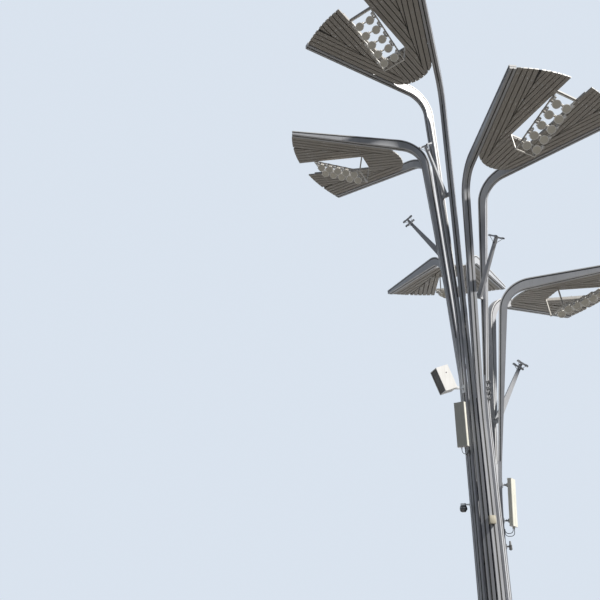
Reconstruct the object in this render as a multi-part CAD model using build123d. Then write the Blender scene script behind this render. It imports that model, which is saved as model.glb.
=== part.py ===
from build123d import *
import os
from math import atan, cos, degrees, radians, sin, sqrt, tan

# A sculptural street light: ten bars rise from one flange as a slim stem and part
# in pairs, and each pair carries one slatted leaf with a tray of ten floodlights.
# Millimetres, +Z up, origin in the middle of the flange's underside, with the
# lowest leaf pointing along +X.
os.makedirs("parts", exist_ok=True)

# The five branches
LEAF_COUNT = 5
LEAF_TURN = 360 / LEAF_COUNT
LOWEST_LEAF = 12950
LEAF_STEP = 2100
# Name, place around the stem and rank in height
BRANCHES = [
    ("lowest", 0, 0),
    ("lower", 1, 1),
    ("middle", 4, 2),
    ("upper", 2, 3),
    ("top", 3, 4),
]

# The stem
STEM_RADIUS = 500
BAR_POSITION = 19.5
BAR_STRIP = 94
BAR_GROOVE = 28
GROOVE_DEPTH = 30
STEM_DEPTH = 80
WAIST_STEP = 20
BEND_ANGLE = 23.8
LEAN_START = 5800
LEAN_START_STEP = 1570
REACH = 1000
REACH_STEP = 100
LEAN_RADIUS = 20000

# The arm from the knee to its tip
KNEE_DEPTH = 300
ROOT_DEPTH = 400
TIP_DEPTH = 150
INNER_BEND = 850
OUTER_BEND = 1300

# The slatted leaf, in its own tilted plane
LEAF_RADIUS = 2090
LEAF_TILT = 9.5
LEAF_LENGTH = 3630
TIP_CROWN = 4210
TIP_ARC = 5650
BASE_CROWN = -130
BASE_ARC = 1230
SLOT_HALF = 475
SLOT_START = 1380
MITRE_BASE = 390
MITRE_ANGLE = 16.5
SLAT_WIDTH = 152
SLAT_GAP = 36
SLAT_THICKNESS = 45
SLAT_RISE = 15
CENTRE_SLATS = 5
BACKING_THICKNESS = 4
BACKING_INSET = 25

# The ribs that carry the slats
RIB_THICKNESS = 20
RIB_HEIGHT = 80
MITRE_BEAM_HEIGHT = 60
BASE_RIB = 350
MIDDLE_RIB = 2550
END_RIB = 3530
BEAM_SHORT = 290

# The lamp tray and its floodlights
TRAY_DROP = 680
TRAY_NEAR = 1400
TRAY_RAIL = 40
TRAY_SIDE_GAP = 10
LAMP_ROWS = 5
LAMP_FIRST = 320
LAMP_PITCH = 400
LAMP_COLUMN = 230
LAMP_RADIUS = 150
LAMP_SIDES = 12
LAMP_RIM = 40
LAMP_BACK = 80
LAMP_NECK = 45
LAMP_STEM = 50
AIM_TURN = 244
AIM_TILT = 40
GEAR_LENGTH = 260
GEAR_WIDTH = 80
GEAR_HEIGHT = 55

# The spot arm between the two bars of a branch
SPOT_DROP = 2560
SPOT_DROP_STEP = 105
SPOT_RADIUS = 1850
SPOT_ROOT_DROP = 4700
SPOT_ROOT_DEPTH = 220
SPOT_TIP_DEPTH = 90
SPOT_THICKNESS = 90
SPOT_HEAD = 420
SPOT_HEAD_BAR = 50
SPOT_HEAD_PITCH = 330
BRIDGE_HEIGHT = 160
BRIDGE_DEPTH = 70
BRIDGE_INSET = 20

# Flange and mast
FLANGE_RADIUS = 800
FLANGE_THICKNESS = 60
BOLT_CIRCLE = 690
BOLT_COUNT = 10
BOLT_HOLE = 22
MAST_RADIUS = 200
MAST_WALL = 12
MAST_TOP = 9000
FIN_THICKNESS = 20
FIN_HEIGHT = 250
FIN_LEVELS = (1500, 3750, 6000, 8250)

# What is clamped to the stem: heights, reach from the bar, sizes
RUNNING = 0.3
CLAMP_HEIGHT = 140
CLAMP_WIDTH = 180
CLAMP_PLATE = 20
STANDOFF = 45

LEFT_ANTENNA = 8045
LEFT_ANTENNA_TURN = 30
RIGHT_ANTENNA = 5600
RIGHT_ANTENNA_TURN = -24
ANTENNA_HEIGHT = 1450
ANTENNA_WIDTH = 370
ANTENNA_DEPTH = 140
ANTENNA_ROUND = 30
ANTENNA_REACH = 160
ANTENNA_BACK = 70
CLAMP_SPACING = 1100
SWIVEL_RADIUS = 35
SWIVEL_HEIGHT = 84
CONNECTOR_RADIUS = 20
CONNECTOR_LENGTH = 50
CONNECTOR_SPACING = 110
JUMPER_RADIUS = 11
JUMPER_SIDES = 8
JUMPER_BOW = 200
JUMPER_BOW_STEP = 35
JUMPER_RISE = 20
JUMPER_SPREAD = 40
JUMPER_BEND = 110

SPEAKER_OVER = 540
SPEAKER = LEFT_ANTENNA + ANTENNA_HEIGHT / 2 + SPEAKER_OVER
SPEAKER_REACH = 330
SPEAKER_TURN = -12.5
SPEAKER_TILT = 20.7
SPEAKER_DEPTH = 447
SPEAKER_WIDTH = 518
SPEAKER_HEIGHT = 826
SPEAKER_BEHIND = 66
SPEAKER_BELOW = 40
SPEAKER_FRAME = 25
SPEAKER_RECESS = 20
LUG_WIDTH = 60
LUG_HEIGHT = 110
CHEEK = 20
CHEEK_GAP = 1
CHEEK_BACK = 30
FORK_BASE = 40
SPEAKER_ARM = 60
TILT_PIN = 14

CAMERA = 5565
CAMERA_REACH = 230
CAMERA_RADIUS = 120
CAMERA_SHOULDER = 95
CAMERA_NOSE = 60
CAMERA_CAP = 85
CAMERA_CAP_HEIGHT = 60
CAMERA_SPINDLE = 30
CAMERA_GAP = 6
CAMERA_TALL = 200

JUNCTION_BOX = 5020
JUNCTION_WIDTH = 200
JUNCTION_HEIGHT = 250
JUNCTION_DEPTH = 110
JUNCTION_SHIFT = 60
JUNCTION_ROUND = 12

SENSOR = 4280
SENSOR_REACH = 130
SENSOR_RADIUS = 50
SENSOR_HEIGHT = 260
SENSOR_LIFT = 30

BAR_WIDTH = 2 * BAR_STRIP + BAR_GROOVE
SLOPE = tan(radians(LEAF_TILT))
LEAF_PLANE = Plane(
    origin=(LEAF_RADIUS, 0, 0),
    x_dir=(cos(radians(LEAF_TILT)), 0, sin(radians(LEAF_TILT))),
    z_dir=(-sin(radians(LEAF_TILT)), 0, cos(radians(LEAF_TILT))),
)
BAR_X = STEM_RADIUS * cos(radians(BAR_POSITION))
BAR_Y = STEM_RADIUS * sin(radians(BAR_POSITION))


def inner_face(r):
    """Half the width between the two bars of a branch, at distance r from the middle."""
    middle_line = BAR_Y + (r - BAR_X) * tan(radians(BEND_ANGLE))
    return middle_line - BAR_WIDTH / 2 / cos(radians(BEND_ANGLE))


def save(node, *solids):
    """One sub-part of one or more solids, written under its node name."""
    made = solids[0] if len(solids) == 1 else Compound(children=list(solids))
    export_step(made, f"parts/{node}.step")


def leaf_height(rank):
    return LOWEST_LEAF + rank * LEAF_STEP


def place(turn, rank):
    """Where a leaf made along +X at height 0 stands on the stem."""
    return Location((0, 0, leaf_height(rank)), (0, 0, turn * LEAF_TURN))


class Bar:
    """One bar of the stem: its side outline lies in one upright plane.

    In that plane s runs outwards from the stem's outer face and z upwards. The bar
    leans in a little up to the start of its lean, and then out to the knee.
    """

    def __init__(self, turn, rank, side):
        self.height = leaf_height(rank)
        self.lean_from = LEAN_START + rank * LEAN_START_STEP
        self.waist = rank * WAIST_STEP
        self.reach = REACH - rank * REACH_STEP
        self.knee = self.height + self.leaf_rise(self.reach)
        foot = radians(turn * LEAF_TURN + side * BAR_POSITION)
        self.heading = turn * LEAF_TURN + side * BEND_ANGLE
        way = radians(self.heading)
        self.plane = Plane(
            origin=(STEM_RADIUS * cos(foot), STEM_RADIUS * sin(foot), 0),
            x_dir=(cos(way), sin(way), 0),
            z_dir=(sin(way), -cos(way), 0),
        )

    def leaf_rise(self, s):
        """Height of the leaf's underside over its middle, above the arm at s."""
        return (BAR_X + s * cos(radians(BEND_ANGLE)) - LEAF_RADIUS) * SLOPE

    def tip(self):
        run = LEAF_RADIUS + LEAF_LENGTH * cos(radians(LEAF_TILT)) - BAR_X
        return run / cos(radians(BEND_ANGLE))

    def bend(self, depth, knee_depth):
        """The bend of an edge: where it starts, its corner, and the ways in and out."""
        foot = Vector(-depth, FLANGE_THICKNESS)
        corner = Vector(-self.waist - depth, self.lean_from)
        knee = Vector(self.reach - knee_depth, self.knee)
        first = (corner - foot).normalized()
        second = (knee - corner).normalized()
        length = LEAN_RADIUS * tan(radians(first.get_angle(second) / 2))
        return corner - first * length, corner, corner + second * length, first, second

    def edge(self, z, depth, knee_depth):
        """s at height z of an edge that lies that deep in the stem and at the knee."""
        start, corner, end, first, second = self.bend(depth, knee_depth)
        if z <= start.Y:
            return corner.X + (z - corner.Y) * first.X / first.Y
        if z >= end.Y:
            return corner.X + (z - corner.Y) * second.X / second.Y
        middle = start + Vector(first.Y, -first.X) * LEAN_RADIUS
        return middle.X - sqrt(LEAN_RADIUS**2 - (z - middle.Y) ** 2)

    def straight_to(self):
        """Height up to which the inner edge is straight."""
        return self.bend(STEM_DEPTH, KNEE_DEPTH)[0].Y

    def outer_edge(self, z):
        """s of the outer edge at height z, below the knee."""
        return self.edge(z, 0, 0)

    def inner_edge(self, z):
        """s of the inner edge at height z, below the knee."""
        return self.edge(z, STEM_DEPTH, KNEE_DEPTH)

    def outline(self, inset):
        """Side outline, with the outer and lower edge set in by inset."""
        tip = self.tip()
        tip_z = self.height + self.leaf_rise(tip)
        lower = (tip_z - self.knee) / (tip - self.reach)
        upper = (tip_z + TIP_DEPTH - self.knee - ROOT_DEPTH) / (tip - self.reach)
        gain = (self.reach + self.waist - KNEE_DEPTH + STEM_DEPTH) / (self.knee - self.lean_from)
        lift = (ROOT_DEPTH - KNEE_DEPTH * upper) / (1 - gain * upper)
        corner = (self.reach - KNEE_DEPTH + lift * gain, self.knee + lift)
        points = [
            (-inset, FLANGE_THICKNESS),
            (-self.waist - inset, self.lean_from),
            (self.reach - inset, self.knee + inset * (1 - lower)),
            (tip, tip_z + inset),
            (tip, tip_z + TIP_DEPTH),
            corner,
            (-STEM_DEPTH - self.waist, self.lean_from),
            (-STEM_DEPTH, FLANGE_THICKNESS),
        ]
        bends = [0, LEAN_RADIUS, INNER_BEND, 0, 0, OUTER_BEND, LEAN_RADIUS, 0]
        return make_face(FilletPolyline(points, radius=bends, close=True))

    def solid(self):
        full = self.plane * self.outline(0)
        web = self.plane * self.outline(GROOVE_DEPTH)
        normal = self.plane.z_dir
        near = extrude(full.moved(Location(normal * (BAR_GROOVE / 2))), BAR_STRIP, dir=normal)
        far = extrude(full.moved(Location(normal * (-BAR_GROOVE / 2))), BAR_STRIP, dir=-normal)
        middle = extrude(web, BAR_GROOVE / 2, dir=normal, both=True)
        return (near + far + middle).clean()


# The leaf's outline and its three fields of slats
EDGE_ANGLE = degrees(atan(tan(radians(BEND_ANGLE)) * cos(radians(LEAF_TILT))))
LEAF_EDGE = tan(radians(EDGE_ANGLE))
LEAF_BASE = inner_face(LEAF_RADIUS) - SLAT_GAP / cos(radians(EDGE_ANGLE))
MITRE = tan(radians(MITRE_ANGLE))
PITCH = SLAT_WIDTH + SLAT_GAP
FAR = 2 * LEAF_LENGTH


def fan():
    """The whole leaf: straight sides along the arms, arcs at base and tip."""
    sides = make_face(
        Polyline(
            (-LEAF_BASE / LEAF_EDGE, 0),
            (FAR, LEAF_BASE + FAR * LEAF_EDGE),
            (FAR, -LEAF_BASE - FAR * LEAF_EDGE),
            close=True,
        )
    )
    tip_disc = Pos(TIP_CROWN - TIP_ARC, 0) * Circle(TIP_ARC)
    base_middle = BASE_CROWN + BASE_ARC
    base_disc = Pos(base_middle, 0) * Circle(BASE_ARC)
    beyond = Pos(base_middle, 0) * Rectangle(FAR, 2 * FAR, align=(Align.MIN, Align.CENTER))
    return sides & tip_disc & (base_disc + beyond)


def field(*corners):
    return make_face(Polyline(*corners, close=True))


def strips(count, first, direction, origin):
    """Parallel strips, one pitch apart, running from origin in a direction."""
    way = Location(origin, (0, 0, direction))
    long = 2 * FAR
    return [
        way * Pos(0, first + i * PITCH) * Rectangle(long, SLAT_WIDTH, align=(Align.CENTER, Align.MIN))
        for i in range(count)
    ]


def mitre_point(u, shift):
    """Point of the mitre line at u, moved sideways by shift."""
    return (u, MITRE_BASE + u * MITRE + shift)


def slat_faces():
    """Slats of one leaf: a centre field and two lobes with a mitre each."""
    whole = fan()
    half_gap = SLAT_GAP / 2 / cos(radians(MITRE_ANGLE))
    crossing = (SLOT_HALF + half_gap - MITRE_BASE) / MITRE
    inner = whole & field(
        (-LEAF_LENGTH, SLOT_HALF), mitre_point(crossing, -half_gap), mitre_point(FAR, -half_gap), (FAR, SLOT_HALF)
    )
    start = -(MITRE_BASE + half_gap) / MITRE
    outer = whole & field(mitre_point(start, half_gap), mitre_point(FAR, half_gap), (FAR, FAR), (start, FAR))
    centre = whole & field(
        (-LEAF_LENGTH, -SLOT_HALF), (SLOT_START, -SLOT_HALF), (SLOT_START, SLOT_HALF), (-LEAF_LENGTH, SLOT_HALF)
    )
    count = int((LEAF_BASE + LEAF_LENGTH * LEAF_EDGE) / PITCH)
    along_slot = strips(count, SLOT_HALF, 0, (LEAF_LENGTH, 0, 0))
    along_arm = strips(count, SLAT_GAP - count * PITCH, EDGE_ANGLE, (0, LEAF_BASE, 0))
    made = []
    for strip in along_slot:
        made += (strip & inner).faces() if (strip & inner) else []
    for strip in along_arm:
        made += (strip & outer).faces() if (strip & outer) else []
    lobes = [face for face in made if face.area > SLAT_WIDTH**2]
    lobes += [face.mirror(Plane.XZ) for face in lobes]
    middle = []
    centre_pitch = 2 * SLOT_HALF / CENTRE_SLATS
    for i in range(CENTRE_SLATS):
        v = (i - (CENTRE_SLATS - 1) / 2) * centre_pitch
        middle += ((Pos(0, v) * Rectangle(FAR, SLAT_WIDTH)) & centre).faces()
    return lobes + middle


def slats():
    lifted = Plane(
        origin=LEAF_PLANE.from_local_coords((0, 0, SLAT_RISE)),
        x_dir=LEAF_PLANE.x_dir,
        z_dir=LEAF_PLANE.z_dir,
    )
    return [extrude(lifted * Face(face.wrapped), SLAT_THICKNESS, dir=LEAF_PLANE.z_dir) for face in slat_faces()]


SLAT_TOP = SLAT_RISE + SLAT_THICKNESS
RIB_FOOT = SLAT_TOP + BACKING_THICKNESS


def block(u0, u1, v0, v1, w0, w1):
    """A box in the leaf's own frame."""
    box = Box(u1 - u0, v1 - v0, w1 - w0, align=(Align.MIN, Align.MIN, Align.MIN))
    return LEAF_PLANE.location * Pos(u0, v0, w0) * box


def ribs():
    """Cross ribs, mitre beams and slot beams of one leaf, in one piece."""
    half = LEAF_BASE + FAR * LEAF_EDGE
    top = SLAT_TOP + RIB_HEIGHT
    beam_top = SLAT_TOP + MITRE_BEAM_HEIGHT
    beam_end = TIP_CROWN - BEAM_SHORT
    frame = block(BASE_RIB, BASE_RIB + RIB_THICKNESS, -half, half, RIB_FOOT, top)
    frame += block(SLOT_START, SLOT_START + RIB_THICKNESS, -half, half, RIB_FOOT, top)
    frame += block(END_RIB, END_RIB + 2 * RIB_THICKNESS, -half, half, RIB_FOOT, top)
    length = (beam_end - BASE_RIB) / cos(radians(MITRE_ANGLE))
    beam = Box(length, 3 * RIB_THICKNESS, beam_top - RIB_FOOT, align=(Align.MIN, Align.CENTER, Align.MIN))
    for side in (-1, 1):
        v = sorted((side * SLOT_HALF, side * half))
        frame += block(MIDDLE_RIB, MIDDLE_RIB + RIB_THICKNESS, *v, RIB_FOOT, top)
        v = sorted((side * SLOT_HALF, side * (SLOT_HALF + 2 * RIB_THICKNESS)))
        frame += block(SLOT_START, beam_end, *v, RIB_FOOT, beam_top)
        start = (BASE_RIB, side * (MITRE_BASE + BASE_RIB * MITRE), RIB_FOOT)
        frame += LEAF_PLANE.location * Location(start, (0, 0, side * MITRE_ANGLE)) * beam
    for side in (-1, 1):
        frame -= beside_arm(side)
    return frame.clean()


def beside_arm(side):
    """Everything outside the inner face of one arm, for a leaf along +X."""
    bar = Bar(0, 0, side)
    big = Box(2 * FAR, FAR, 2 * FAR, align=(Align.CENTER, Align.MIN, Align.CENTER))
    foot = (BAR_X, side * BAR_Y, 0)
    turned = Location(foot, (0, 0, bar.heading if side > 0 else bar.heading + 180))
    return turned * Pos(0, -BAR_WIDTH / 2, 0) * big


# The lamp tray hangs in the slot: its near end drops below the slats
TRAY_ANGLE = degrees(atan(TRAY_DROP / (END_RIB - TRAY_NEAR)))
TRAY_LENGTH = sqrt(TRAY_DROP**2 + (END_RIB - TRAY_NEAR) ** 2)
TRAY_HALF = SLOT_HALF - TRAY_SIDE_GAP
TRAY = LEAF_PLANE.location * Location((END_RIB, 0, SLAT_TOP), (0, -TRAY_ANGLE, 0))


def backing():
    """Dark sheet on top of the slats, from arm to arm, with the slot left open."""
    base_middle = BASE_CROWN + BASE_ARC
    tip = Pos(TIP_CROWN - TIP_ARC, 0) * Circle(TIP_ARC - BACKING_INSET)
    base = Pos(base_middle, 0) * Circle(BASE_ARC - BACKING_INSET)
    beyond = Pos(base_middle, 0) * Rectangle(FAR, 2 * FAR, align=(Align.MIN, Align.CENTER))
    slot = Pos(SLOT_START, 0) * Rectangle(FAR, 2 * SLOT_HALF, align=(Align.MIN, Align.CENTER))
    plan = (tip & (base + beyond)) - slot
    sheet = LEAF_PLANE.location * Pos(0, 0, SLAT_TOP) * extrude(plan, BACKING_THICKNESS)
    for side in (-1, 1):
        sheet -= beside_arm(side)
    return max(sheet.solids(), key=lambda solid: solid.volume)


def row_place(row):
    """Place of a row's cross bar, counted from the tray's far end."""
    return -LAMP_FIRST - row * LAMP_PITCH


def cross_bar(x):
    return TRAY * Pos(x, 0, 0) * Box(TRAY_RAIL, 2 * TRAY_HALF, TRAY_RAIL)


def lamp_tray():
    """Frame of two rails, the bars that carry the floodlights, and their control gear."""
    frame = cross_bar(-TRAY_RAIL / 2) + cross_bar(TRAY_RAIL / 2 - TRAY_LENGTH)
    rail = Box(TRAY_LENGTH, TRAY_RAIL, TRAY_RAIL, align=(Align.MAX, Align.CENTER, Align.CENTER))
    gear = Box(GEAR_WIDTH, GEAR_LENGTH, GEAR_HEIGHT, align=(Align.CENTER, Align.CENTER, Align.MIN))
    hanger = SLOT_START + RIB_THICKNESS
    drop = (END_RIB - hanger) * tan(radians(TRAY_ANGLE))
    for row in range(LAMP_ROWS):
        frame += cross_bar(row_place(row))
    for side in (-1, 1):
        frame += TRAY * Pos(0, side * (TRAY_HALF - TRAY_RAIL / 2), 0) * rail
        v = sorted((side * TRAY_HALF, side * (TRAY_HALF - TRAY_RAIL)))
        frame += block(hanger, hanger + TRAY_RAIL, *v, SLAT_TOP - drop, SLAT_TOP + MITRE_BEAM_HEIGHT)
        for row in range(LAMP_ROWS):
            frame += TRAY * Pos(row_place(row), side * LAMP_COLUMN, TRAY_RAIL / 2) * gear
    return frame.clean()


def floodlight():
    """One floodlight along its own axis: glass at 0, back and neck upwards."""
    wide = RegularPolygon(LAMP_RADIUS, LAMP_SIDES)
    narrow = RegularPolygon(LAMP_NECK, LAMP_SIDES)
    shoulder = Pos(0, 0, LAMP_RIM)
    back = loft([shoulder * wide, shoulder * Pos(0, 0, LAMP_BACK) * narrow], ruled=True)
    return extrude(wide, LAMP_RIM) + back


def floodlights(turn):
    """The ten floodlights of a leaf, each on a stem under its cross bar."""
    aim = Location((0, 0, 0), (0, 0, AIM_TURN - turn * LEAF_TURN)) * Location((0, 0, 0), (0, -AIM_TILT, 0))
    sunk = LAMP_NECK / 4
    body = aim * Pos(0, 0, sunk - LAMP_RIM - LAMP_BACK) * floodlight()
    stem = Box(TRAY_RAIL, TRAY_RAIL, LAMP_STEM + 2 * sunk, align=(Align.CENTER, Align.CENTER, Align.MAX))
    made = []
    for row in range(LAMP_ROWS):
        for side in (-1, 1):
            root = TRAY * Pos(row_place(row), side * LAMP_COLUMN, -TRAY_RAIL / 2)
            pivot = (root * Pos(0, 0, -LAMP_STEM - 2 * sunk)).position
            made.append((root * stem + Location(pivot) * body).clean())
    return made


def spot_arm(rank):
    """A fin rising from a bridge between the two bars, with an H-shaped head square to it."""
    bar = Bar(0, rank, 1)
    out = bar.outer_edge(bar.height - SPOT_ROOT_DROP)
    r1 = BAR_X + out * cos(radians(BEND_ANGLE)) - BRIDGE_INSET
    r0 = r1 - BRIDGE_DEPTH
    plan = make_face(
        Polyline(
            (r0, -inner_face(r0)), (r1, -inner_face(r1)), (r1, inner_face(r1)), (r0, inner_face(r0)), close=True
        )
    )
    bridge = extrude(Pos(0, 0, -SPOT_ROOT_DROP) * plan, BRIDGE_HEIGHT)
    low = Vector(r0 + BRIDGE_DEPTH / 2, -SPOT_ROOT_DROP + BRIDGE_HEIGHT / 2)
    end = Vector(SPOT_RADIUS, -SPOT_DROP - rank * SPOT_DROP_STEP)
    way = (end - low).normalized()
    across = Vector(way.Y, -way.X)
    fin = make_face(
        Polyline(
            low + across * (SPOT_ROOT_DEPTH / 2), end + across * (SPOT_TIP_DEPTH / 2),
            end - across * (SPOT_TIP_DEPTH / 2), low - across * (SPOT_ROOT_DEPTH / 2), close=True,
        )
    )
    arm = bridge + extrude(Plane.XZ * fin, SPOT_THICKNESS / 2, both=True)
    top = Plane(origin=(end.X, 0, end.Y), x_dir=(across.X, 0, across.Y), z_dir=(way.X, 0, way.Y))
    below = (Align.CENTER, Align.CENTER, Align.MAX)
    arm += top * Box(SPOT_HEAD_BAR, SPOT_HEAD_PITCH + SPOT_HEAD_BAR, SPOT_HEAD_BAR, align=below)
    for side in (-1, 1):
        rail = Box(SPOT_HEAD, SPOT_HEAD_BAR, SPOT_HEAD_BAR, align=below)
        arm += top * Pos(0, side * SPOT_HEAD_PITCH / 2, 0) * rail
    return arm.clean()


def central_mast(bars):
    """Tube inside the stem, with a fin to each bar at several levels."""
    upright = (Align.CENTER, Align.CENTER, Align.MIN)
    length = MAST_TOP - FLANGE_THICKNESS
    tube = Pos(0, 0, FLANGE_THICKNESS) * Cylinder(MAST_RADIUS, length, align=upright)
    for bar in bars:
        foot = bar.plane.origin
        inward = -(foot.X * bar.plane.x_dir.X + foot.Y * bar.plane.x_dir.Y)
        for level in FIN_LEVELS:
            high = level + FIN_HEIGHT
            if high > bar.straight_to():
                continue
            face = make_face(
                Polyline(
                    (inward, level), (bar.inner_edge(level), level),
                    (bar.inner_edge(high), high), (inward, high), close=True,
                )
            )
            tube += extrude(bar.plane * face, FIN_THICKNESS / 2, both=True)
    bore = Pos(0, 0, FLANGE_THICKNESS) * Cylinder(MAST_RADIUS - MAST_WALL, length - MAST_WALL, align=upright)
    return (tube - bore).clean()


def base_flange():
    plate = Cylinder(FLANGE_RADIUS, FLANGE_THICKNESS, align=(Align.CENTER, Align.CENTER, Align.MIN))
    holes = PolarLocations(BOLT_CIRCLE, BOLT_COUNT)
    for hole in holes:
        plate -= hole * Pos(0, 0, FLANGE_THICKNESS / 2) * Cylinder(BOLT_HOLE, 2 * FLANGE_THICKNESS)
    return plate


def on_bar(bar, z):
    """Place on a bar's outer face at height z, with +X pointing away from it."""
    s = bar.outer_edge(z)
    foot = bar.plane.origin + bar.plane.x_dir * s
    return Location((foot.X, foot.Y, z), (0, 0, bar.heading))


def seat(bar, z, height, width, depth):
    """Plate that lies on a bar's outer face, upright or leaning as the bar does."""
    low, high = z - height / 2, z + height / 2
    out = max(bar.outer_edge(low), bar.outer_edge(high)) + depth
    face = make_face(
        Polyline((bar.outer_edge(low), low), (out, low), (out, high), (bar.outer_edge(high), high), close=True)
    )
    return extrude(bar.plane * face, width / 2, both=True)


def antenna_pivot(bar, z, turn):
    """Middle of the pivot line through both clamps, which leans as the bar does."""
    ends = []
    for level in (z - CLAMP_SPACING / 2, z + CLAMP_SPACING / 2):
        foot = bar.plane.origin + bar.plane.x_dir * (bar.outer_edge(level) + ANTENNA_REACH)
        ends.append(Vector(foot.X, foot.Y, level))
    along = ends[1] - ends[0]
    outwards = bar.plane.x_dir - along.normalized() * bar.plane.x_dir.dot(along.normalized())
    pivot = Plane(origin=(ends[0] + ends[1]) / 2, x_dir=outwards, z_dir=along)
    return pivot.location * Rotation(0, 0, turn), along.length / 2


def antenna(bar, z, turn):
    """Panel antenna with two connectors under it."""
    here, _ = antenna_pivot(bar, z, turn)
    panel = Box(ANTENNA_DEPTH, ANTENNA_WIDTH, ANTENNA_HEIGHT, align=(Align.MIN, Align.CENTER, Align.CENTER))
    panel = Pos(ANTENNA_BACK, 0, 0) * fillet(panel.edges().filter_by(Axis.Z), ANTENNA_ROUND)
    connector = Cylinder(CONNECTOR_RADIUS, CONNECTOR_LENGTH, align=(Align.CENTER, Align.CENTER, Align.MAX))
    for side in (-1, 1):
        panel += Pos(*connector_place(side)) * connector
    return here * panel


def connector_place(side):
    return (ANTENNA_BACK + ANTENNA_DEPTH / 2, side * CONNECTOR_SPACING / 2, -ANTENNA_HEIGHT / 2)


def antenna_brackets(bar, z, turn):
    """Two clamps, each a plate on the bar, an arm, a swivel and a plate on the antenna."""
    here, half = antenna_pivot(bar, z, turn)
    hub = Cylinder(SWIVEL_RADIUS, SWIVEL_HEIGHT)
    link = Box(ANTENNA_BACK, STANDOFF, STANDOFF, align=(Align.MIN, Align.CENTER, Align.CENTER))
    plate = Box(CLAMP_PLATE, CLAMP_WIDTH, CLAMP_HEIGHT, align=(Align.MAX, Align.CENTER, Align.CENTER))
    joined = hub + link + Pos(ANTENNA_BACK, 0, 0) * plate
    made = []
    for step in (-1, 1):
        level = z + step * CLAMP_SPACING / 2
        clamp = seat(bar, level, CLAMP_HEIGHT, CLAMP_WIDTH, CLAMP_PLATE)
        clamp += bracket_arm(bar, level, ANTENNA_REACH)
        made.append((clamp + here * Pos(0, 0, step * half) * joined).clean())
    return made


def bracket_arm(bar, z, reach):
    """Square arm from within a seat plate to a reach from the bar."""
    arm = Box(reach - CLAMP_PLATE / 2, STANDOFF, STANDOFF, align=(Align.MIN, Align.CENTER, Align.CENTER))
    return on_bar(bar, z) * Pos(CLAMP_PLATE / 2, 0, 0) * arm


def jumpers(bar, z, turn):
    """Two leads from the connectors, down in a bow and up against the bar."""
    here, _ = antenna_pivot(bar, z, turn)
    section = RegularPolygon(JUMPER_RADIUS, JUMPER_SIDES)
    made = []
    for side in (-1, 1):
        outlet = here * Pos(*connector_place(side)) * Pos(0, 0, -CONNECTOR_LENGTH)
        start = outlet.position
        corner = (outlet * Pos(0, 0, -JUMPER_BOW - side * JUMPER_BOW_STEP)).position
        clear = JUMPER_RADIUS + RUNNING + lean_between(bar, corner.Z, start.Z)
        foot = (on_bar(bar, corner.Z) * Pos(clear, side * JUMPER_SPREAD, 0)).position
        points = [start, corner, foot, Vector(foot.X, foot.Y, start.Z - JUMPER_RISE)]
        way = FilletPolyline(points, radius=[JUMPER_BEND, JUMPER_BEND])
        lead = sweep(Plane(origin=way @ 0, z_dir=way % 0) * section, way)
        share = lead.volume / section.area / way.length
        print(f"jumper {way.length:.0f} mm long, bends {JUMPER_BEND} mm, volume over section x length {share:.4f}")
        made.append(lead)
    return made


def lean_between(bar, low, high):
    """How far a bar's outer edge comes out between two heights."""
    return max(0, bar.outer_edge(high) - bar.outer_edge(low))


def fork_place(bar):
    """Place of the tilt pin, turned with the fork."""
    return on_bar(bar, SPEAKER) * Location((SPEAKER_REACH, 0, 0), (0, 0, SPEAKER_TURN))


def speaker_place(bar):
    return fork_place(bar) * Rotation(0, SPEAKER_TILT, 0)


def loudspeaker(bar):
    """Tall box with a recessed front, and a lug with the tilt bore at its back."""
    box = Box(SPEAKER_DEPTH, SPEAKER_WIDTH, SPEAKER_HEIGHT, align=(Align.MIN, Align.CENTER, Align.MIN))
    recess = Pos(SPEAKER_DEPTH, 0, SPEAKER_HEIGHT / 2) * Box(
        2 * SPEAKER_RECESS, SPEAKER_WIDTH - 2 * SPEAKER_FRAME, SPEAKER_HEIGHT - 2 * SPEAKER_FRAME
    )
    body = Pos(SPEAKER_BEHIND, 0, -SPEAKER_BELOW) * (box - recess)
    lug = Pos(0, 0, -SPEAKER_BELOW) * Box(
        SPEAKER_BEHIND, LUG_WIDTH, LUG_HEIGHT, align=(Align.MIN, Align.CENTER, Align.MIN)
    )
    eye = Rotation(90, 0, 0) * Cylinder(SPEAKER_BELOW, LUG_WIDTH)
    bore = Rotation(90, 0, 0) * Cylinder(TILT_PIN + RUNNING, 2 * LUG_WIDTH)
    return speaker_place(bar) * (body + lug + eye - bore).clean()


def loudspeaker_bracket(bar):
    """Seat plate, arm and fork, with the tilt pin fixed in the fork."""
    half = LUG_WIDTH / 2 + CHEEK_GAP
    tall = 2 * SPEAKER_BELOW
    behind = SPEAKER_BELOW + CHEEK_BACK
    outwards = (Align.MIN, Align.CENTER, Align.CENTER)
    arm = Box(SPEAKER_REACH - behind - (FORK_BASE + CLAMP_PLATE) / 2, SPEAKER_ARM, SPEAKER_ARM, align=outwards)
    base = Pos(-behind - FORK_BASE, 0, 0) * Box(FORK_BASE, 2 * (half + CHEEK), tall, align=outwards)
    cheek = Box(behind + SPEAKER_BELOW, CHEEK, tall, align=outwards)
    fork = base + Rotation(90, 0, 0) * Cylinder(TILT_PIN, 2 * (half + CHEEK))
    for side in (-1, 1):
        fork += Pos(-behind, side * (half + CHEEK / 2), 0) * cheek
    made = seat(bar, SPEAKER, 2 * CLAMP_HEIGHT, CLAMP_WIDTH, CLAMP_PLATE)
    made += on_bar(bar, SPEAKER) * Pos(CLAMP_PLATE / 2, 0, 0) * arm
    return (made + fork_place(bar) * fork).clean()


def camera_place(bar):
    return on_bar(bar, CAMERA) * Pos(CAMERA_REACH, 0, 0)


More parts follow.
